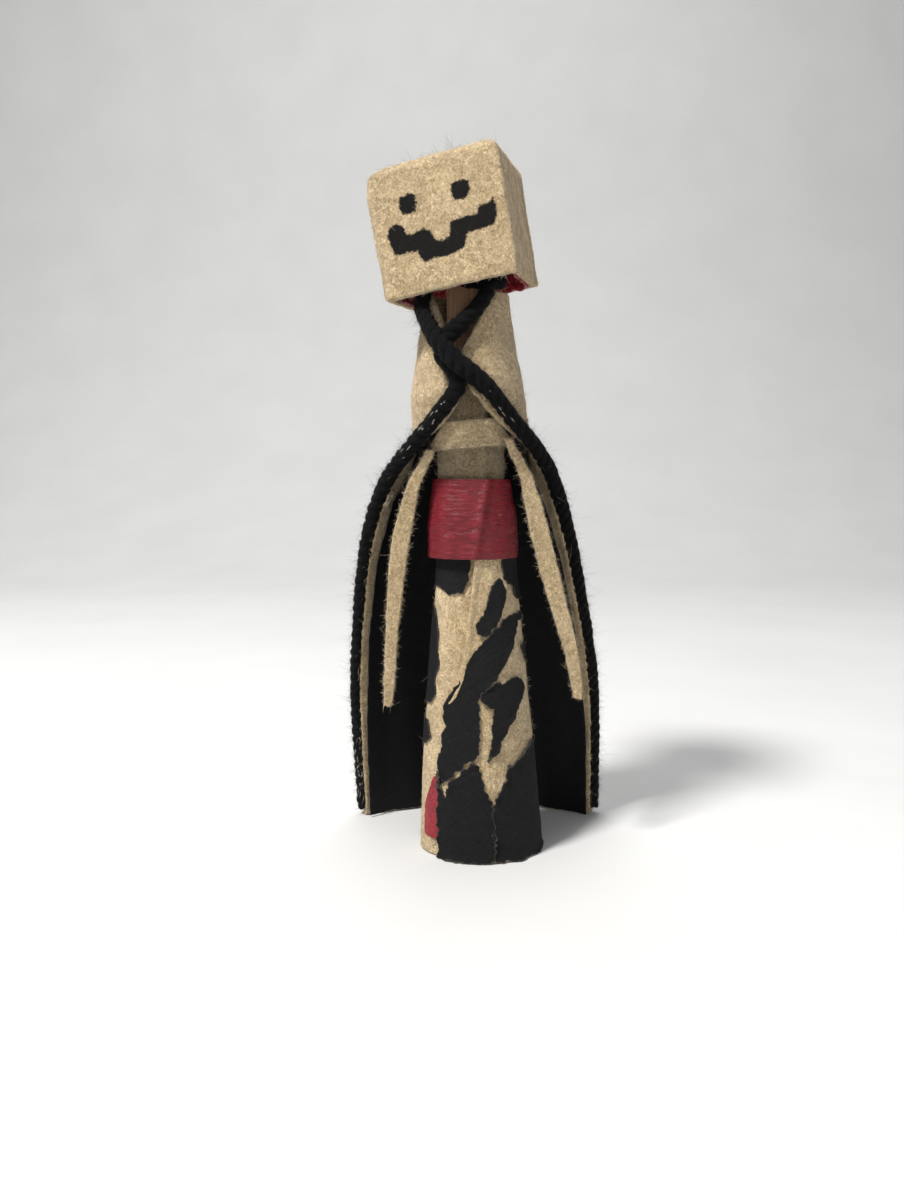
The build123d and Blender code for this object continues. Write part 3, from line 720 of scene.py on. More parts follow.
def meet_cord(outer, inner, cord):
    """Moves the front edge of the felt up to the cord that runs along it."""
    spots = np.array(sorted(cord, key=lambda p: p[2]))
    middle = (outer[:, 0] + inner[:, 0]) / 2
    line = np.stack([np.interp(middle[:, 2], spots[:, 2], spots[:, k]) for k in (0, 1)], axis=1)
    away = line - middle[:, :2]
    reach = np.linalg.norm(away, axis=1)
    pull = np.clip(reach - 1.1, 0, 2.5) * (1 - smoothstep(78, 84, middle[:, 2]))
    move = away / reach[:, None] * pull[:, None]
    fade = 1 - smoothstep(0.0, 0.22, cloak_shares)
    for face in (outer, inner):
        face[..., :2] += move[:, None, :] * fade[None, :, None]


cloak_heights = steps(0.15, 107.0, 0.62)
cloak_shares = shares(50, 0.009)
for side_name, side in (("left", -1), ("right", 1)):
    outer = cloak_grid(side, cloak_heights, cloak_shares, 0.0)
    inner = cloak_grid(side, cloak_heights, cloak_shares, FELT)
    meet_cord(outer, inner, LEFT_CORD if side < 0 else RIGHT_CORD)
    outer, inner = felted(outer, inner, 11, swell=0.2)
    ragged = 0.35 * noise_at(outer[:, 0], 1.4, 30 + side)
    for face in (outer, inner):
        face[:, 0] += (face[:, 0] - face[:, 3]) * (ragged * 0.35)[:, None]
        face[0, :, 2] = np.maximum(0.05, 0.15 + 0.3 * np.abs(noise_at(outer[0], 5.0, 40 + side)))
    half = two_faced(f"cloak_{side_name}_half", outer, inner, FELT_FACES)
    fur = nap(half, f"cloak_{side_name}_nap", 6500, 0.85, tan_fibre, 50 + side, lift=0.3)
    long_fur = nap(half, f"cloak_{side_name}_edge_nap", 900, 1.0, tan_fibre, 60 + side, lift=0.7, kinds=(2,))
    lining_heights = steps(0.5, 87.0, 0.8)
    lining_shares = 0.016 + 0.984 * shares(40, 0.01)
    face_in = cloak_grid(side, lining_heights, lining_shares, FELT + 0.12 + TAPE)
    face_out = cloak_grid(side, lining_heights, lining_shares, FELT + 0.1)
    crease = 0.07 * noise_at(face_in, 5.0, 70 + side) + 0.05 * noise_at(face_in, 1.7, 72 + side)
    face_in[..., 1] += crease
    face_in[0, :, 2] += 0.25 * noise_at(face_in[0], 1.2, 74 + side)
    face_in[:, 0, 0] += side * 0.22 * noise_at(face_in[:, 0], 1.6, 76 + side)
    tape = two_faced(f"cloak_{side_name}_lining", face_out, face_in, LINING_FACES)
    for piece in (half, fur, long_fur, tape):
        hang(piece)
    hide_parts(f"cloak_{side_name}_flap", *(("cloak_back", "cloak_yoke") if side < 0 else ()))
    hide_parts(f"cloak_{side_name}_flap_lining", *(("cloak_back_lining",) if side < 0 else ()))

# ---------------------------------------------------------------- the cords
def cord_line(name, points, spacing=0.28):
    """Evenly spaced points, in millimetres, along the smooth line of a cord."""
    data = bpy.data.curves.new(name, "CURVE")
    data.dimensions = "3D"
    data.resolution_u = 24
    spline = data.splines.new("NURBS")
    spline.points.add(len(points) - 1)
    for spot, place in zip(spline.points, placed(points)):
        spot.co = (*place, 1)
    spline.order_u = 3
    spline.use_endpoint_u = True
    route = bpy.data.objects.new(name, data)
    scene.collection.objects.link(route)
    bpy.context.view_layer.update()
    mesh = bpy.data.meshes.new_from_object(route.evaluated_get(bpy.context.evaluated_depsgraph_get()))
    line = (np.array([v.co for v in mesh.vertices]) - AXIS) / MM
    bpy.data.objects.remove(route)
    reach = np.concatenate([[0], np.cumsum(np.linalg.norm(np.diff(line, axis=0), axis=1))])
    marks = np.linspace(0, reach[-1], round(reach[-1] / spacing) + 1)
    return np.stack([np.interp(marks, reach, line[:, k]) for k in range(3)], axis=1), marks


def plied(line, marks, strand, helix, lay, seed, count=3, sides=9):
    """Strands of yarn laid round a line."""
    along = np.gradient(line, axis=0)
    along /= np.linalg.norm(along, axis=1, keepdims=True)
    across = np.cross(along[0], (0.2, 1.0, 0.1))
    parts = []
    firsts = []
    for k in range(len(line)):
        across = across - along[k] * (across @ along[k])
        across /= np.linalg.norm(across)
        firsts.append(across)
    firsts = np.array(firsts)
    seconds = np.cross(along, firsts)
    slack = 1 + 0.16 * noise_at(line, 3.0, seed)
    swell = 1 + 0.20 * np.exp(-(((line[:, 2] - 93.5) / 5.5) ** 2))
    for n in range(count):
        angles = 2 * math.pi * (marks / lay + n / count)
        ring = firsts * np.cos(angles)[:, None] + seconds * np.sin(angles)[:, None]
        path = line + ring * (helix * slack * swell)[:, None]
        fat = strand * swell * (1 + 0.17 * noise_at(path, 1.1, seed + n + 1))
        ends = np.minimum(smoothstep(-0.4, 0.5, marks), smoothstep(-0.4, 0.5, marks[-1] - marks))
        parts.append(tube(path, fat * (0.55 + 0.45 * ends), sides))
    return joined(parts)


cord_lines = {}
for side_name, points in (("left", LEFT_CORD), ("right", RIGHT_CORD)):
    line, marks = cord_line(f"{side_name}_cord_route", points)
    cord_lines[side_name] = line
    seed = 100 if side_name == "left" else 120
    points, faces = plied(line, marks, YARN_STRAND, YARN_HELIX, YARN_LAY, seed)
    points[:, 2] = np.maximum(points[:, 2], 0.04)
    cord = mesh_piece(f"cord_{side_name}", points, faces, [yarn], sharp=180)
    short = nap(
        cord, f"cord_{side_name}_fuzz", 13000, 0.8, black_fibre, seed + 5,
        lift=0.8, kinds=(0,), radius=0.016, curl=0.9,
    )
    wisps = nap(
        cord, f"cord_{side_name}_wisps", 1300, 1.6, black_fibre, seed + 9,
        lift=1.2, kinds=(0,), radius=0.011, curl=1.2,
    )
    for piece in (cord, short, wisps):
        hang(piece)
    other = "right" if side_name == "left" else "left"
    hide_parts(f"throat_cord_{other}", f"edge_cord_{side_name}")

TUCK = [(5.5, -0.9, 109.0), (4.2, -2.9, 108.8), (0.4, -3.2, 108.6), (-3.2, -2.9, 109.4), (-5.6, -1.2, 110.6)]
for number, rise in enumerate((0.0, 2.1)):
    line, marks = cord_line(f"tuck_{number}_route", [(x, y, z + rise) for x, y, z in TUCK])
    turn_points, turn_faces = plied(line, marks, 0.85, 0.5, 5.6, 135 + number)
    turn_piece = mesh_piece(f"yarn_tuck_{number}", turn_points, turn_faces, [yarn], sharp=180)
    tuck_fuzz = nap(
        turn_piece, f"yarn_tuck_{number}_fuzz", 500, 0.7, black_fibre, 138 + number,
        lift=0.8, kinds=(0,), radius=0.016,
    )
    for piece in (turn_piece, tuck_fuzz):
        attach(piece, "root")

# ---------------------------------------------------------------- torso, chest band and sash
turns = np.linspace(0, 1, 110)
torso_x, torso_a, torso_b = TORSO_OVAL
seam = -math.acos((2.5 - torso_x) / torso_a)
angles = seam - 2 * math.pi * turns * 1.02
heights = steps(66.3, 91.6, 0.7)
dip = 1.15 * smoothstep(0.68, 0.98, turns)
grid_angles = np.broadcast_to(angles, (len(heights), len(turns)))


def torso_face(inset):
    a, b = torso_a - inset - dip, torso_b - inset - dip * 0.95
    x = torso_x + a * np.cos(grid_angles)
    y = b * np.sin(grid_angles)
    return np.stack([x, y, np.broadcast_to(heights[:, None], x.shape)], axis=2)


torso_outer, torso_inner = felted(torso_face(0.0), torso_face(0.95), 140)
# the torso's faces take the half-tone felt, painted shade under the cloak
torso = two_faced("torso_wrap_felt", torso_outer, torso_inner, [felt_shaded, felt_shaded, felt_cut])
carried(torso, "root", "tan_felt", "torso_wrap")
furred(torso, "torso_nap", "root", 1500, 0.7, 141, within=lambda c: c[1] < 1)

band_heights = steps(79.0, 84.0, 0.4)
band_angles = np.linspace(0, 2 * math.pi, 120, endpoint=False)
band_faces = []
for inset in (0.0, FELT - 0.1):
    x = torso_x + (torso_a + FELT - inset) * np.cos(band_angles)[None, :] + 0 * band_heights[:, None]
    y = (torso_b + FELT - inset) * np.sin(band_angles)[None, :] + 0 * band_heights[:, None]
    z = band_heights[:, None] + 0.085 * x * (y < 0) * smoothstep(0, -3, y) + 0 * x
    band_faces.append(np.stack([x, y, z], axis=2))
band_outer, band_inner = felted(*band_faces, 150, swell=0.12, wrap=True)
band = two_faced("chest_band_felt", band_outer, band_inner, FELT_FACES, wrap=True)
carried(band, "root", "tan_felt", "chest_band")
furred(band, "chest_band_nap", "root", 1200, 0.7, 151, within=lambda c: c[1] < 0)

sash_turns = np.linspace(0, 1, 240)
sash_angles = 0.9 + 2 * math.pi * 1.06 * sash_turns
sash_heights = steps(58.3, 73.1, 0.22, 0.08)
sash_rise = 0.32 * smoothstep(0.9, 0.99, sash_turns)


def sash_face(inset):
    cx, a, b = (eased(sash_heights, SASH_OVALS, k, 2.0)[:, None] for k in (1, 2, 3))
    x = cx + (a - inset + sash_rise) * np.cos(sash_angles)
    y = (b - inset + sash_rise) * np.sin(sash_angles)
    return np.stack([x, y, np.broadcast_to(sash_heights[:, None], x.shape)], axis=2)


sash_outer, sash_inner = sash_face(0.0), sash_face(TAPE - 0.04)
stretched = sash_outer * np.array([0.22, 0.22, 1.0])
crinkle = 0.075 * noise_at(stretched, 0.55, 160) + 0.10 * noise_at(stretched, 1.5, 161)
ridge_x = 1.6 - 0.16 * (66 - sash_outer[..., 2])
ridge = 0.5 * np.exp(-(((sash_outer[..., 0] - ridge_x) / 0.9) ** 2)) * (sash_outer[..., 1] < 0)
lift = crinkle + ridge + 0.13 * noise_at(sash_outer, 4.0, 162)
outward = grid_normals(sash_outer)
outward *= np.sign((outward[..., :2] * sash_outer[..., :2]).sum(-1))[..., None]
for face in (sash_outer, sash_inner):
    face += outward * np.maximum(lift, -0.12)[..., None]
for row in (0, -1):
    sash_outer[row, :, 2] += 0.12 * noise_at(sash_outer[row], 2.0, 163)
sash = two_faced("waist_sash_tape", sash_outer, sash_inner, [red_sash, red_sash, red_sash])
carried(sash, "root", "red_tape", "waist_sash")

# ---------------------------------------------------------------- the skirt
skirt_heights = steps(0.12, 66.0, 0.55)
ring_angles = np.linspace(0, 2 * math.pi, 130, endpoint=False)


def skirt_ring(inset):
    return oval(INNER_TURN_OVALS, skirt_heights[:, None], ring_angles[None, :], inset)


inner_turn_faces = felted(skirt_ring(0.0), skirt_ring(FELT), 170, wrap=True, swell=0.1)
inner_turn = two_faced("skirt_inner_turn", *inner_turn_faces, FELT_FACES, wrap=True)
carried(inner_turn, "root", "tan_felt", "skirt_felt")

lining_rows = steps(0.6, 50.0, 0.8)
skirt_lining_faces = [
    oval(INNER_TURN_OVALS, lining_rows[:, None], ring_angles[None, :], FELT + inset) for inset in (0.05, 0.33)
]
skirt_lining_faces[1] += 0.06 * noise_at(skirt_lining_faces[1], 1.5, 172)[..., None] * np.array([1, 1, 0])
skirt_tube = two_faced("skirt_tape_lining", *skirt_lining_faces, LINING_FACES, wrap=True)
carried(skirt_tube, "root", "black_tape", "skirt_lining")

outer_shares = shares(90, 0.006)
wrap_x = np.array([eased(z, WRAP_EDGE, 1, 1.4) for z in skirt_heights])
wrap_x += 0.16 * noise_at(np.stack([0 * skirt_heights, 0 * skirt_heights, skirt_heights], 1), 2.2, 174)
first = front_angle(SKIRT_OVALS, skirt_heights, wrap_x)
last = -front_angle(SKIRT_OVALS, skirt_heights, np.full(len(skirt_heights), float(WRAP_BACK_EDGE)))
outer_angles = first[:, None] + (last - first)[:, None] * outer_shares[None, :]
outer_turn_faces = []
for inset in (0.0, FELT):
    outer_turn_faces.append(oval(SKIRT_OVALS, skirt_heights[:, None], outer_angles, inset))
folds = 0.42 * np.exp(-(((outer_shares[None, :] - 0.018) / 0.022) ** 2))
folds = folds * smoothstep(20, 36, skirt_heights)[:, None]
outward = np.stack([np.cos(outer_angles), np.sin(outer_angles), 0 * outer_angles], axis=2)
for face in outer_turn_faces:
    face += outward * folds[..., None]
outer_turn_faces = felted(*outer_turn_faces, 176, swell=0.13)
outer_turn = two_faced("skirt_outer_turn", *outer_turn_faces, FELT_FACES)
carried(outer_turn, "root", "tan_felt", "skirt_felt")

SKIRT_UNROLL = 9.2  # mm of patch for each radian round the skirt
covered = {True: [], False: []}


def torn_patch(name, ovals, outline, seed, behind=False, curl=0.25, rag=0.22, material=None, node=None):
    """A torn piece of tape lying on the skirt, with a ragged rim that lifts here and there."""
    corners = []
    for x, z in outline:
        t = float(front_angle(ovals, z, x))
        corners.append((t * SKIRT_UNROLL, z))
    border = []
    for (w0, z0), (w1, z1) in zip(corners, corners[1:] + corners[:1]):
        length = math.hypot(w1 - w0, z1 - z0)
        count = max(1, round(length / 0.24))
        for k in range(count):
            share = k / count
            w, z = w0 + (w1 - w0) * share, z0 + (z1 - z0) * share
            p = (w / 0.8 + seed, z / 0.8, 0.3)
            q = (w / 0.33 + seed, z / 0.33, 1.7)
            push = rag * noise.noise(p) * 1.3 + rag * 0.75 * noise.noise(q)
            border.append((w + push * (z1 - z0) / length, z - push * (w1 - w0) / length))
    border = np.array(border)
    covered[ovals is SKIRT_OVALS].append(border)
    low, high = border.min(0), border.max(0)
    inside = []
    for i, z in enumerate(np.arange(low[1], high[1], 0.42)):
        for w in np.arange(low[0] + (i % 2) * 0.24, high[0], 0.48):
            inside.append((w, z))
    inside = np.array(inside)
    gap = depth_inside(inside, border)
    keep = gap > 0.26
    flat = np.concatenate([border, inside[keep]])
    reach = np.concatenate([np.zeros(len(border)), gap[keep]])
    edges = [(k, (k + 1) % len(border)) for k in range(len(border))]
    made = delaunay_2d_cdt([Vector(p) for p in flat], edges, [], 1, 1e-4)
    spots = np.array([tuple(v) for v in made[0]])
    origin = [o[0] if o else 0 for o in made[3]]
    reach = reach[np.array(origin)]
    triangles = [tuple(f) for f in made[2]]
    angle = spots[:, 0] / SKIRT_UNROLL * (-1 if behind else 1)
    base = oval(ovals, spots[:, 1], angle)
    away = np.stack([np.cos(angle), np.sin(angle) * 1.2, np.zeros(len(angle))], axis=1)
    away /= np.linalg.norm(away, axis=1, keepdims=True)
    raised = curl * np.clip(0.45 + 1.6 * noise_at(base, 2.6, seed), 0, 1.6) * np.exp(-reach / 0.55)
    creased = 0.05 * noise_at(base, 1.1, seed + 1) + 0.07 * noise_at(base, 3.2, seed + 2)
    top = base + away * (0.30 + raised + creased)[:, None]
    bottom = base + away * (0.07 + raised * 0.8)[:, None]
    for face in (top, bottom):
        face[:, 2] = np.maximum(face[:, 2], 0.06)
    count = len(spots)
    faces = triangles + [tuple(i + count for i in reversed(f)) for f in triangles]
    sides = {}
    for f in triangles:
        for e in zip(f, f[1:] + f[:1]):
            key = tuple(sorted(e))
            sides[key] = None if key in sides else e
    faces += [(e[1], e[0], e[0] + count, e[1] + count) for e in sides.values() if e]
    points = np.concatenate([top, bottom])
    rim = np.concatenate([reach, reach])
    patch = mesh_piece(name + "_torn", points, faces, [material or torn], values={"rim": rim}, sharp=60)
    carried(patch, "root", "black_tape" if material is None else "red_tape", node or name)
    return patch


OUTER_PATCHES = {
    "patch_waist_right": [
        (5.3, 58.6), (5.5, 56), (5.6, 54.9), (6.4, 53.7), (7.3, 53.1), (7.7, 51.4), (8.4, 50.6),
        (9.6, 50.2), (11.5, 50.6), (12.5, 52), (12.5, 58.6),
    ],
    "patch_long_leaf": [
        (4.9, 55), (5.7, 54.2), (6.1, 52.3), (6, 49.9), (5.5, 48.1), (5.1, 46.9), (4.6, 45.9),
        (3.6, 44.9), (2.8, 43.8), (1.7, 44.1), (0.9, 44.3), (0.6, 45.4), (0.8, 46.5), (1.9, 47.7),
        (2.5, 49.2), (2.9, 51.2), (3.6, 53.3),
    ],
    "patch_diagonal": [
        (5.6, 47.0), (7.4, 47.7), (9.0, 48.2), (9.3, 47.4), (8.3, 46.3), (8.2, 44.3), (7.6, 42.2),
        (6.9, 40.3), (6.0, 38.3), (5.0, 36.9), (4.7, 35.9), (3.6, 34.9), (2.5, 33.6), (1.3, 32.2),
        (1.4, 29), (1.6, 25.6), (1.3, 23), (1.5, 21.6), (0.4, 20.4), (-1.4, 19.4), (-1.7, 18.3),
        (-3.1, 17.9), (-3.6, 16.5), (-5.0, 15.6), (-6.1, 14.9), (-6.3, 18), (-6.1, 21),
        (-5.6, 22.4), (-5.7, 24.5), (-4.9, 26.4), (-5.2, 28), (-5.3, 30), (-4.6, 31.9),
        (-3.0, 34.3), (-1.3, 37), (-0.6, 39.5), (0.9, 41.6), (2.2, 43), (3.8, 44.7), (4.9, 45.8),
    ],
    "patch_side_chip": [(9.0, 41.6), (10.2, 41.9), (12.6, 41.4), (12.4, 38), (10.6, 37.2), (9.8, 39)],
    "patch_two_lobed": [
        (1.6, 33.1), (2.9, 33.9), (4.2, 34.9), (5.0, 35.2), (5.6, 34.6), (6.8, 35.6), (8.4, 35.8),
        (9.6, 34.7), (10.1, 33.2), (9.6, 31.9), (8.8, 30.2), (8.0, 28.2), (6.9, 26.6), (6.5, 25.2),
        (5.7, 24), (5.4, 22.7), (4.3, 21.3), (3.2, 19.8), (2.9, 20.4), (3.4, 22.6), (3.8, 25.2),
        (3.8, 28), (4.1, 30.1), (3.0, 30.6), (2.2, 31.4), (1.5, 31.9),
    ],
    "patch_hem_left": [
        (-6.4, 17.6), (-5.9, 16.4), (-5.4, 13.4), (-4.9, 12.4), (-4.6, 14.4), (-3.9, 16.2),
        (-2.3, 17.3), (-1.2, 18.8), (0.3, 20.2), (1.1, 19.6), (1.9, 17.6), (2.6, 14.8), (3.4, 12.6),
        (3.9, 11.2), (4.3, 8), (4.5, 0.3), (-6.3, 0.3),
    ],
    "patch_hem_right": [
        (3.9, 0.3), (4.0, 6), (4.0, 11.4), (4.6, 13.2), (5.5, 14.7), (6.3, 16.4), (6.5, 17.8),
        (7.0, 19.3), (7.6, 18.7), (8.3, 19.9), (9.6, 20.9), (11.0, 22.6), (12.4, 22.9),
        (14.6, 22.6), (17.5, 20.4), (19, 16), (21, 18), (22, 12), (21, 0.3),
    ],
}
for number, (name, outline) in enumerate(OUTER_PATCHES.items()):
    rough_edge = dict(curl=0.5, rag=0.36) if "hem" in name else dict(curl=0.3)
    torn_patch(name, SKIRT_OVALS, outline, 200 + 3 * number, **rough_edge)
UNDER_PATCHES = {
    "patch_waist_left": [
        (-8.5, 58.6), (-0.2, 58.6), (-0.3, 56.9), (-0.7, 55.6), (-0.5, 54.4), (-1.3, 53.1),
        (-1.6, 51.6), (-2.7, 51.9), (-4.2, 51.3), (-5.3, 52.4), (-6.4, 53), (-7.6, 52.2),
        (-9, 53.4),
    ],
    "patch_side_left": [
        (-11, 50), (-8.2, 49.6), (-6.6, 48.4), (-6.2, 44), (-6.4, 40.6), (-6.0, 38), (-6.9, 35),
        (-6.8, 32), (-7.8, 30.2), (-9.4, 29.6), (-12, 30),
    ],
    "patch_edge_left": [
        (-11.4, 26), (-9.6, 27.2), (-8.2, 26.6), (-7.7, 23.6), (-8.6, 22), (-9.8, 21.4), (-11.6, 22.4),
    ],
}
for number, (name, outline) in enumerate(UNDER_PATCHES.items()):
    torn_patch(name, INNER_TURN_OVALS, outline, 240 + 3 * number, curl=0.2)
BACK_PATCHES = {
    "patch_back_high": [
        (-5, 54), (-3.2, 54.6), (-1, 56), (0.6, 53), (1.5, 50), (0.9, 46.6), (0.5, 44), (-3, 42),
        (-6, 47),
    ],
    "patch_back_low": [(-9, 0.4), (-8.6, 12), (-8, 18), (-5, 22), (-3, 16), (0, 20), (2, 14), (2.3, 0.4)],
}
for number, (name, outline) in enumerate(BACK_PATCHES.items()):
    torn_patch(name, INNER_TURN_OVALS, outline, 260 + 3 * number, behind=True)
edge_tape = [
    (-9.0, 4.0), (-8.9, 7.2), (-8.8, 9.9), (-8.4, 11.6), (-7.9, 13.4), (-7.2, 15.9), (-6.4, 16.4),
    (-6.2, 8), (-6.3, 3.8), (-7.6, 3.7),
]
torn_patch("skirt_edge_tape", INNER_TURN_OVALS, edge_tape, 270, material=red_lining, rag=0.12, curl=0.12)


SKIRT_NAPS = ((inner_turn, INNER_TURN_OVALS, 2400, 180), (outer_turn, SKIRT_OVALS, 4200, 182))
for piece, ovals, count, seed in SKIRT_NAPS:

    def bare(c):
        cx, a, b = (float(eased(c[2], ovals, k)) for k in (1, 2, 3))
        w = math.atan2(c[1] / b, (c[0] - cx) / a) * SKIRT_UNROLL
        return all(depth_inside(np.array([[w, c[2]]]), o)[0] < -0.25 for o in covered[ovals is SKIRT_OVALS])

    furred(piece, piece.name + "_nap", "root", count, 0.55, seed, lift=0.3, within=bare)


# ---------------------------------------------------------------- the arms
def arm_strip(name, shoulder, inner_edge, outer_edge, seed):
    """A felt strip, soft at its cut edges, hanging from the shoulder and leaning back."""
    lean = math.radians(4)
    down = np.array([0, -math.sin(lean), math.cos(lean)])
    facing = np.array([0, -math.cos(lean), -math.sin(lean)])
    heights = steps(-49.0, 0.7, 0.35)
    edges = []
    for edge in (inner_edge, outer_edge):
        keys = sorted(edge, key=lambda p: p[1])
        us, vs = [k[0] for k in keys], [k[1] for k in keys]
        edges.append(np.mean([np.interp(heights + o, vs, us) for o in (-1.5, 0, 1.5)], 0))
    inner_u, outer_u = edges
    spots = np.stack([0 * heights, heights, 0 * heights], axis=1)
    inner_u = inner_u + 0.14 * noise_at(spots, 1.5, seed) + 0.08 * noise_at(spots, 0.5, seed + 1)
    outer_u = outer_u + 0.14 * noise_at(spots, 1.4, seed + 2) + 0.08 * noise_at(spots, 0.5, seed + 3)
    across = shares(10, 0.06)
    u = inner_u[:, None] + (outer_u - inner_u)[:, None] * across[None, :]
    v = np.broadcast_to(heights[:, None], u.shape).copy()
    v[0] += 0.5 * noise_at(np.stack([u[0], 0 * u[0], 0 * u[0]], axis=1), 0.7, seed + 4)
    bow = 0.25 * np.sin(heights / 9.0 + seed)[:, None] * smoothstep(0, -12, heights)[:, None]
    faces = []
    for depth in (0.66, -0.66):
        grid = np.array(shoulder) + u[..., None] * np.array([1.0, 0, 0]) + v[..., None] * down
        faces.append(grid + facing * (depth + bow)[..., None])
    faces = felted(*faces, seed + 5, swell=0.12, fuzz=0.06)
    return two_faced(name + "_strip", *faces, FELT_FACES)


ARMS = {
    "left": (
        (-7.2, -4.2, 77.8),
        [(0.5, 0.7), (-2.6, -5.4), (-4.2, -14), (-5.2, -20), (-6.9, -33), (-7.9, -46), (-8.6, -49)],
        [(-1.2, 0.6), (-4.9, -5.4), (-7.5, -14), (-8.5, -20), (-9.3, -33), (-10, -46), (-9.9, -49)],
    ),
    "right": (
        (5.8, -5.6, 79.8),
        [(-0.4, 0.9), (3, -6), (4.7, -15), (7.5, -25.5), (12.1, -39.5), (13.6, -46.5), (14.4, -49.5)],
        [(1.1, 0.9), (5.3, -6), (8.2, -15), (11, -25.5), (14.7, -39.5), (15.6, -46.5), (15.7, -49)],
    ),
}
for number, (side_name, (shoulder, inner_edge, outer_edge)) in enumerate(ARMS.items()):
    arm = arm_strip(f"{side_name}_arm", shoulder, inner_edge, outer_edge, 300 + 10 * number)
    body = f"{side_name}_arm_strip"
    carried(arm, body, "tan_felt", f"{side_name}_arm")
    furred(arm, f"{side_name}_arm_nap", body, 2200, 0.5, 308 + number)
    furred(arm, f"{side_name}_arm_edge_nap", body, 420, 0.6, 318 + number, lift=0.8, kinds=(2,))
    dark = nap(
        arm, f"{side_name}_arm_lint", 34, 1.8, black_fibre, 328 + number,
        lift=0.8, kinds=(2,), radius=0.014, curl=1.2,
    )
    carried(dark, body, "black_yarn")


# ---------------------------------------------------------------- the head
def head_axes():
    def turned(x, y, z):
        cos, sin = math.cos(HEAD_PITCH), math.sin(HEAD_PITCH)
        y, z = y * cos - z * sin, y * sin + z * cos
        cos, sin = math.cos(HEAD_YAW), math.sin(HEAD_YAW)
        return np.array([x * cos - y * sin, x * sin + y * cos, z])

    right = turned(math.cos(HEAD_ROLL), 0, math.sin(HEAD_ROLL))
    up = turned(-math.sin(HEAD_ROLL), 0, math.cos(HEAD_ROLL))
    return right, np.cross(up, right), up


HEAD_RIGHT, HEAD_BACK, HEAD_UP = head_axes()


def rounded(p, first, second, corner, radius, signs):
    """Turns the square corner of a section into a round one, nested layers with it."""
    d1, d2 = (p[:, first] - corner[0]) * signs[0], (p[:, second] - corner[1]) * signs[1]
    d1, d2 = d1 + radius, d2 + radius
    inside = (d1 > 0) & (d2 > 0)
    reach = np.maximum(np.hypot(d1, d2), 1e-9)
    share = np.where(inside, np.maximum(d1, d2) / reach, 1.0)
    p[:, first] = corner[0] + (d1 * share - radius) * signs[0]
    p[:, second] = corner[1] + (d2 * share - radius) * signs[1]
    return p


def on_head(p):
    """Points given in the head's own right, back and up, with its soft corners, in place."""
    p = np.array(p, float)
    w, d, h = HEAD_WIDTH / 2, HEAD_DEPTH / 2, HEAD_HEIGHT
    p = rounded(p, 0, 2, (-w, h), 4.6, (-1, 1))
    p = rounded(p, 0, 2, (w, h), 2.2, (1, 1))
    p = rounded(p, 0, 2, (-w, 0), 0.9, (-1, -1))
    p = rounded(p, 1, 2, (-d, h), 2.0, (-1, 1))
    p = rounded(p, 1, 2, (d, h), 1.2, (1, 1))
    p = rounded(p, 0, 1, (-w, -d), 2.0, (-1, -1))
    p = rounded(p, 0, 1, (w, -d), 0.5, (1, -1))
    return HEAD_BASE + p[:, :1] * HEAD_RIGHT + p[:, 1:2] * HEAD_BACK + p[:, 2:] * HEAD_UP


def slab(
    name, low, high, spacing, materials, seed,
    swell=0.14, fuzz=0.055, edge=0.3, values=None, shape=on_head,
):
    """A felt slab: a fine grid over all six sides, eased at its edges, with a fibrous surface."""
    low, high = np.array(low, float), np.array(high, float)
    ticks = []
    for k in range(3):
        count = max(2, round((high[k] - low[k]) / spacing))
        inner = np.linspace(low[k] + edge, high[k] - edge, count)
        ticks.append(np.concatenate([[low[k]], inner, [high[k]]]))
    counts = [len(t) for t in ticks]
    index, points, faces = {}, [], []

    def vertex(i):
        if i not in index:
            index[i] = len(points)
            points.append([ticks[k][i[k]] for k in range(3)])
        return index[i]

    for axis in range(3):
        u, v = [k for k in range(3) if k != axis]
        for end in (0, counts[axis] - 1):
            for a in range(counts[u] - 1):
                for b in range(counts[v] - 1):
                    corners = []
                    for da, db in ((0, 0), (1, 0), (1, 1), (0, 1)):
                        i = [0, 0, 0]
                        i[axis], i[u], i[v] = end, a + da, b + db
                        corners.append(vertex(tuple(i)))
                    faces.append(tuple(corners))
    points = np.array(points)
    core = np.clip(points, low + edge, high - edge)
    out = points - core
    length = np.linalg.norm(out, axis=1, keepdims=True)
    out = out / np.maximum(length, 1e-9)
    sideways = noise_at(points, 2.8, seed) * swell
    grain = fuzz * (noise_at(points, 0.8, seed + 1) + 0.7 * noise_at(points, 0.42, seed + 2))
    points = core + out * (edge + sideways + grain)[:, None]
    extra = {key: column(points) for key, column in (values or {}).items()}
    return mesh_piece(name, shape(points), faces, materials, values=extra, sharp=60)


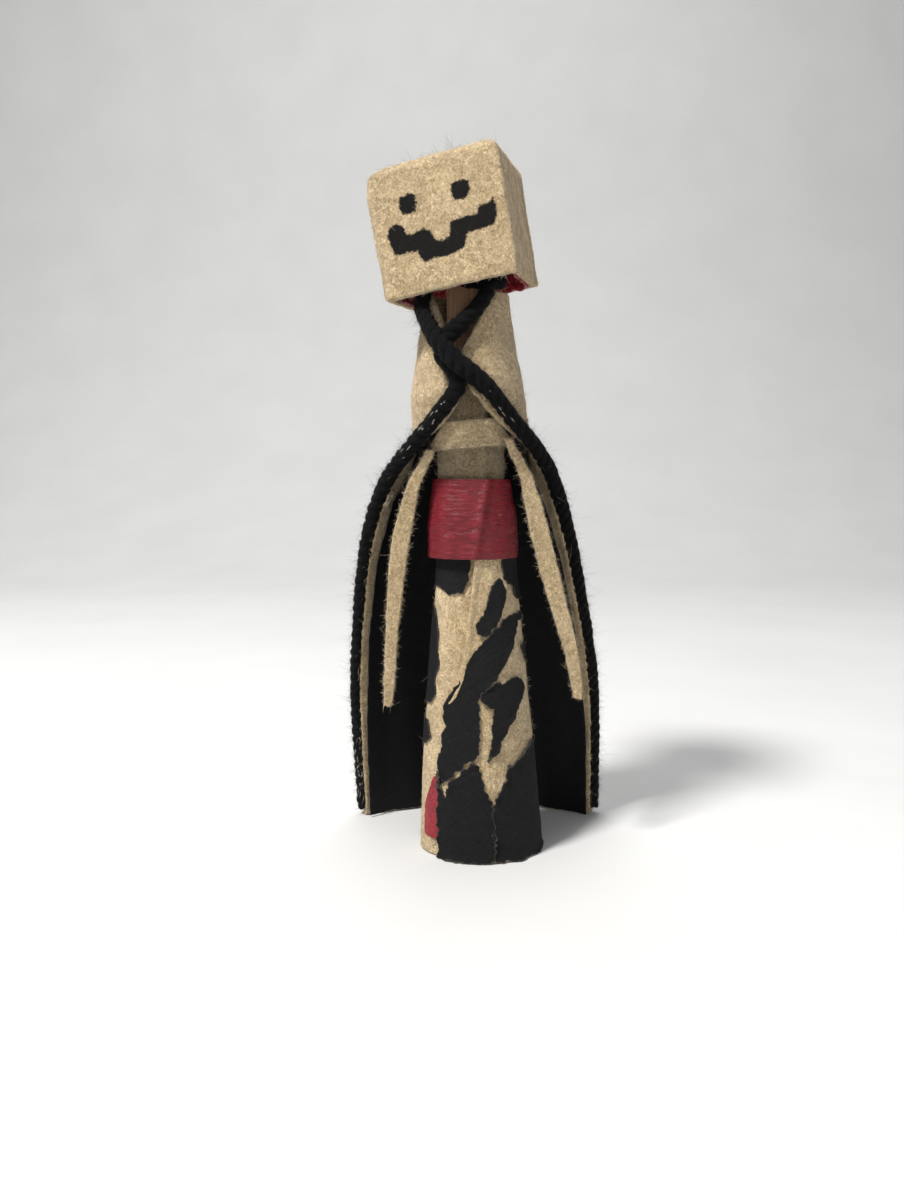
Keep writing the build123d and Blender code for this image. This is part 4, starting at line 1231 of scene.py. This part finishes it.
LEFT_EYE = [
    (-6.2, 16.7), (-5.3, 16.6), (-4.2, 16.9), (-3.2, 16.3), (-3.2, 14.8), (-3.6, 13.5),
    (-4.7, 13.4), (-5.8, 13.5), (-6.5, 14.1), (-6.4, 15.3),
]
RIGHT_EYE = [
    (3.4, 16.5), (4.6, 16.9), (6.4, 16.5), (6.7, 15.3), (6.3, 14.2), (5.3, 13.5), (3.6, 13.7),
    (3.2, 14.6), (3.1, 15.6),
]
MOUTH = [
    (-7.4, 12.5), (-6.3, 11.7), (-6.0, 10.4), (-5.0, 10.0), (-3.8, 10.5), (-2.7, 10.6), (-1.5, 9.8),
    (-1.1, 8.6), (-0.4, 8.0), (0.9, 7.9), (1.6, 8.3), (2.0, 10.4), (2.6, 10.7), (7.0, 10.8),
    (7.5, 12.1), (9.3, 12.0), (10.2, 12.7), (10.6, 11.4), (10.5, 10.0), (9.6, 8.2), (4.8, 8.0),
    (4.0, 5.8), (0.6, 5.0), (-2.0, 5.2), (-3.2, 4.9), (-4.0, 5.2), (-4.3, 6.0), (-4.6, 7.1),
    (-5.5, 7.1), (-6.6, 7.2), (-7.5, 7.0), (-8.8, 7.3), (-9.2, 8.9), (-9.6, 10.8), (-9.0, 12.0),
]


def inked(points):
    spots = points[:, [0, 2]]
    deep = np.max([depth_inside(spots, o) for o in (LEFT_EYE, RIGHT_EYE, MOUTH)], axis=0)
    return np.where(points[:, 1] < -HEAD_DEPTH / 2 + 0.7, deep, -5.0)


W, D, H = HEAD_WIDTH / 2, HEAD_DEPTH / 2, HEAD_HEIGHT
face = slab("head_front_panel", (-W, -D, 0), (W, -D + FELT, H), 0.3, [felt_face], 400, values={"ink": inked})
carried(face, "head", "tan_felt", "head_front", "left_eye", "right_eye", "mouth")
PANELS = {
    "head_back": ((-W, D - FELT, 0), (W, D, H)),
    "head_left_side": ((-W, -D + FELT + 0.12, 0), (-W + FELT, D - FELT - 0.04, H)),
    "head_right_side": ((W - FELT, -D + FELT + 0.2, 0.15), (W - 0.12, D - FELT - 0.04, H - 0.1)),
    "head_top": ((-W + FELT + 0.04, -D + FELT + 0.04, H - FELT), (W - FELT - 0.04, D - FELT - 0.04, H)),
}
for number, (name, (low, high)) in enumerate(PANELS.items()):
    finish = felt_grain_and_groove_shade if "side" in name else felt
    panel = slab(name + "_panel", low, high, 0.4, [finish], 410 + 5 * number)
    carried(panel, "head", "tan_felt", name)
    furred(panel, name + "_nap", "head", 1500, 0.7, 440 + number, kinds=(0,))


def clear_of_ink(c):
    d = c - HEAD_BASE
    spot = np.array([[d @ HEAD_RIGHT, d @ HEAD_UP]])
    return max(depth_inside(spot, o)[0] for o in (LEFT_EYE, RIGHT_EYE, MOUTH)) < -0.35


furred(face, "head_front_nap", "head", 3600, 0.7, 450, lift=0.3, kinds=(0,), within=clear_of_ink)

# the lining: four crinkled walls with a torn lower edge, and a ceiling
wall_w, wall_d, turn = W - FELT - 0.02, D - FELT - 0.02, 0.8
wall = []
for number, (across, back) in enumerate(((1, -1), (1, 1), (-1, 1), (-1, -1))):
    cx, cy, start = across * wall_w, back * wall_d, 90 * number - 90
    sx, sy = math.copysign(turn, cx), math.copysign(turn, cy)
    for k in range(5):
        a = math.radians(start + 22.5 * k)
        wall.append((cx - sx + turn * math.cos(a), cy - sy + turn * math.sin(a)))
wall = np.array(wall + wall[:1])
reach = np.concatenate([[0], np.cumsum(np.linalg.norm(np.diff(wall, axis=0), axis=1))])
marks = np.linspace(0, reach[-1], 220, endpoint=False)
ring = np.stack([np.interp(marks, reach, wall[:, k]) for k in range(2)], axis=1)
rows = steps(0.1, 20.6, 0.45)
wall_out = np.stack([np.concatenate([ring, np.full((len(ring), 1), z)], axis=1) for z in rows])
wall_in = wall_out * np.array([1 - 0.36 / wall_w, 1 - 0.36 / wall_d, 1.0])
crush = 0.22 * np.abs(noise_at(wall_in, 1.7, 460)) + 0.14 * np.abs(noise_at(wall_in, 0.8, 461))
wall_in = wall_in * (1 - crush[..., None] * np.array([0.09, 0.1, 0.0]))
torn_edge = 0.3 + 0.75 * noise_at(wall_out[0], 1.3, 462) - 0.5 * smoothstep(-4, 6, wall_out[0][:, 1])
for face_grid in (wall_out, wall_in):
    face_grid[0, :, 2] += torn_edge
    face_grid[1, :, 2] += torn_edge * 0.7
shape = wall_out.shape
wall_out, wall_in = (on_head(grid.reshape(-1, 3)).reshape(shape) for grid in (wall_out, wall_in))
walls = two_faced("head_lining_walls", wall_out, wall_in, [red_lining] * 3, wrap=True)
carried(walls, "head", "red_tape", "head_lining")
ceiling = slab(
    "head_lining_ceiling", (-wall_w + 0.3, -wall_d + 0.3, 20.6), (wall_w - 0.3, wall_d - 0.3, 20.95),
    0.6, [red_lining], 465, swell=0.05, fuzz=0.04, edge=0.1,
)
carried(ceiling, "head", "red_tape", "head_lining")


def crown_shape(p):
    spot = p[:, :2] * np.array([1 / 8.5, 1 / 6.0])
    reach = np.maximum(np.linalg.norm(spot, ord=6, axis=1), 1e-6)
    p = p.copy()
    stretch = np.minimum(1.0, 1.0 / reach)[:, None]
    p[:, :2] *= stretch * (1 + 0.05 * noise_at(p, 1.6, 470)[:, None])
    p[:, 1] += 1.5
    p[:, 2] += HEAD_HEIGHT + 0.35 * np.maximum(0, reach - 0.8) * (1 + noise_at(p, 1.5, 471))
    return HEAD_BASE + p[:, :1] * HEAD_RIGHT + p[:, 1:2] * HEAD_BACK + p[:, 2:] * HEAD_UP


crown = slab(
    "crown_patch_felt", (-8.5, -6, 0.05), (8.5, 6, 0.75), 0.4, [yarn], 472,
    fuzz=0.09, shape=crown_shape,
)
carried(crown, "head", "black_yarn", "crown_patch")
tufts = nap(crown, "crown_fuzz", 2400, 1.0, black_fibre, 473, lift=1.0, kinds=(0,), radius=0.02, curl=1.0)
carried(tufts, "head", "black_yarn")

def wad_shape(p):
    """A round roll about the stick's axis, from a square slab."""
    share = np.minimum(1, WAD_RADIUS / np.maximum(np.hypot(p[:, 0], p[:, 1]), WAD_RADIUS))
    return np.stack([p[:, 0] * share, p[:, 1] * share, p[:, 2] + WAD_FOOT], axis=1)


WAD_RADIUS, WAD_FOOT = 3.9, 123.15
wad = slab(
    "head_wad_roll", (-4, -4, 0), (4, 4, 2.4), 0.5, [yarn], 480, swell=0.2, fuzz=0.1, edge=0.5,
    shape=wad_shape,
)
carried(wad, "head_seat", "black_yarn", "head_wad")

# ---------------------------------------------------------------- hot glue and stray threads
def lump(name, points, radii, seed, material, body, slot, *nodes):
    """A smooth run of glue or thread through a few points."""
    points = np.array(points, float)
    marks = np.linspace(0, len(points) - 1, max(8, 8 * (len(points) - 1)) + 1)
    line = np.stack([eased_line(marks, points[:, k]) for k in range(3)], axis=1)
    fat = np.interp(marks, np.arange(len(points)), radii)
    fat = fat * (1 + 0.18 * noise_at(line, 1.0, seed))
    p, f = tube(line, np.maximum(fat, 0.008), 10)
    return carried(mesh_piece(name, p, f, [material], sharp=180), body, slot, *nodes)


def eased_line(marks, column):
    keys = np.arange(len(column))
    return np.mean([np.interp(marks + o, keys, column) for o in (-0.3, -0.15, 0, 0.15, 0.3)], axis=0)


def head_spot(x, y, z):
    return tuple(on_head(np.array([[x, y, z]]))[0])


bead_y = -D + FELT + 0.95
lump(
    "head_glue_run",
    [head_spot(x, bead_y, z) for x, z in ((-3.2, 0.7), (-2.2, 0.6), (-0.6, 0.75), (1.2, 0.9))],
    [0.12, 0.55, 0.6, 0.12], 500, glue, "head", "hot_glue", "head_glue_bead",
)
loop = []
for k in range(15):
    a = 2 * math.pi * k / 14
    across = 0.35 * math.cos(a) + 0.75 * math.sin(a)
    loop.append((-15.8 + across, 1.0, 69.3 + 1.5 * math.sin(a) + 0.2 * math.cos(3 * a)))
loop_radii = [0.24 + 0.12 * math.sin(2.1 * k) for k in range(15)]
lump("edge_glue_loop", loop, loop_radii, 505, stained_glue, "cloak_left", "hot_glue", "edge_glue_blob")
# glue beads along the cords: side, share of the cord's length, count, seed
GLUE_RUNS = (
    ("left", (0.24, 0.36), 26, 530),
    ("left", (0.86, 0.985), 34, 540),
    ("right", (0.2, 0.3), 10, 550),
)
for side_name, share, count, seed in GLUE_RUNS:
    rng = random.Random(seed)
    line = cord_lines[side_name]
    parts = []
    for k in range(count):
        i = int(rng.uniform(*share) * (len(line) - 1))
        spot = line[i] + np.array([rng.uniform(-0.9, 0.5), -1.25, rng.uniform(-0.6, 0.6)])
        way = (line[min(i + 3, len(line) - 1)] - line[i - 3]) * rng.uniform(0.15, 0.45)
        bead = [spot - way, spot, spot + way]
        parts.append(tube(bead, [0.03, rng.uniform(0.06, 0.17), 0.03], 8))
    points, faces = joined(parts)
    points[:, 2] = np.maximum(points[:, 2], 0.05)
    beads = mesh_piece(f"glue_beads_{side_name}_{seed}", points, faces, [glue], sharp=180)
    hang(beads)
lump(
    "braid_thread", [(1.4, -11.4, 90.6), (2.2, -11.2, 89.0), (1.7, -9.6, 85.8)], [0.05, 0.03, 0.02],
    522, pale_fibre, "root", "black_yarn",
)
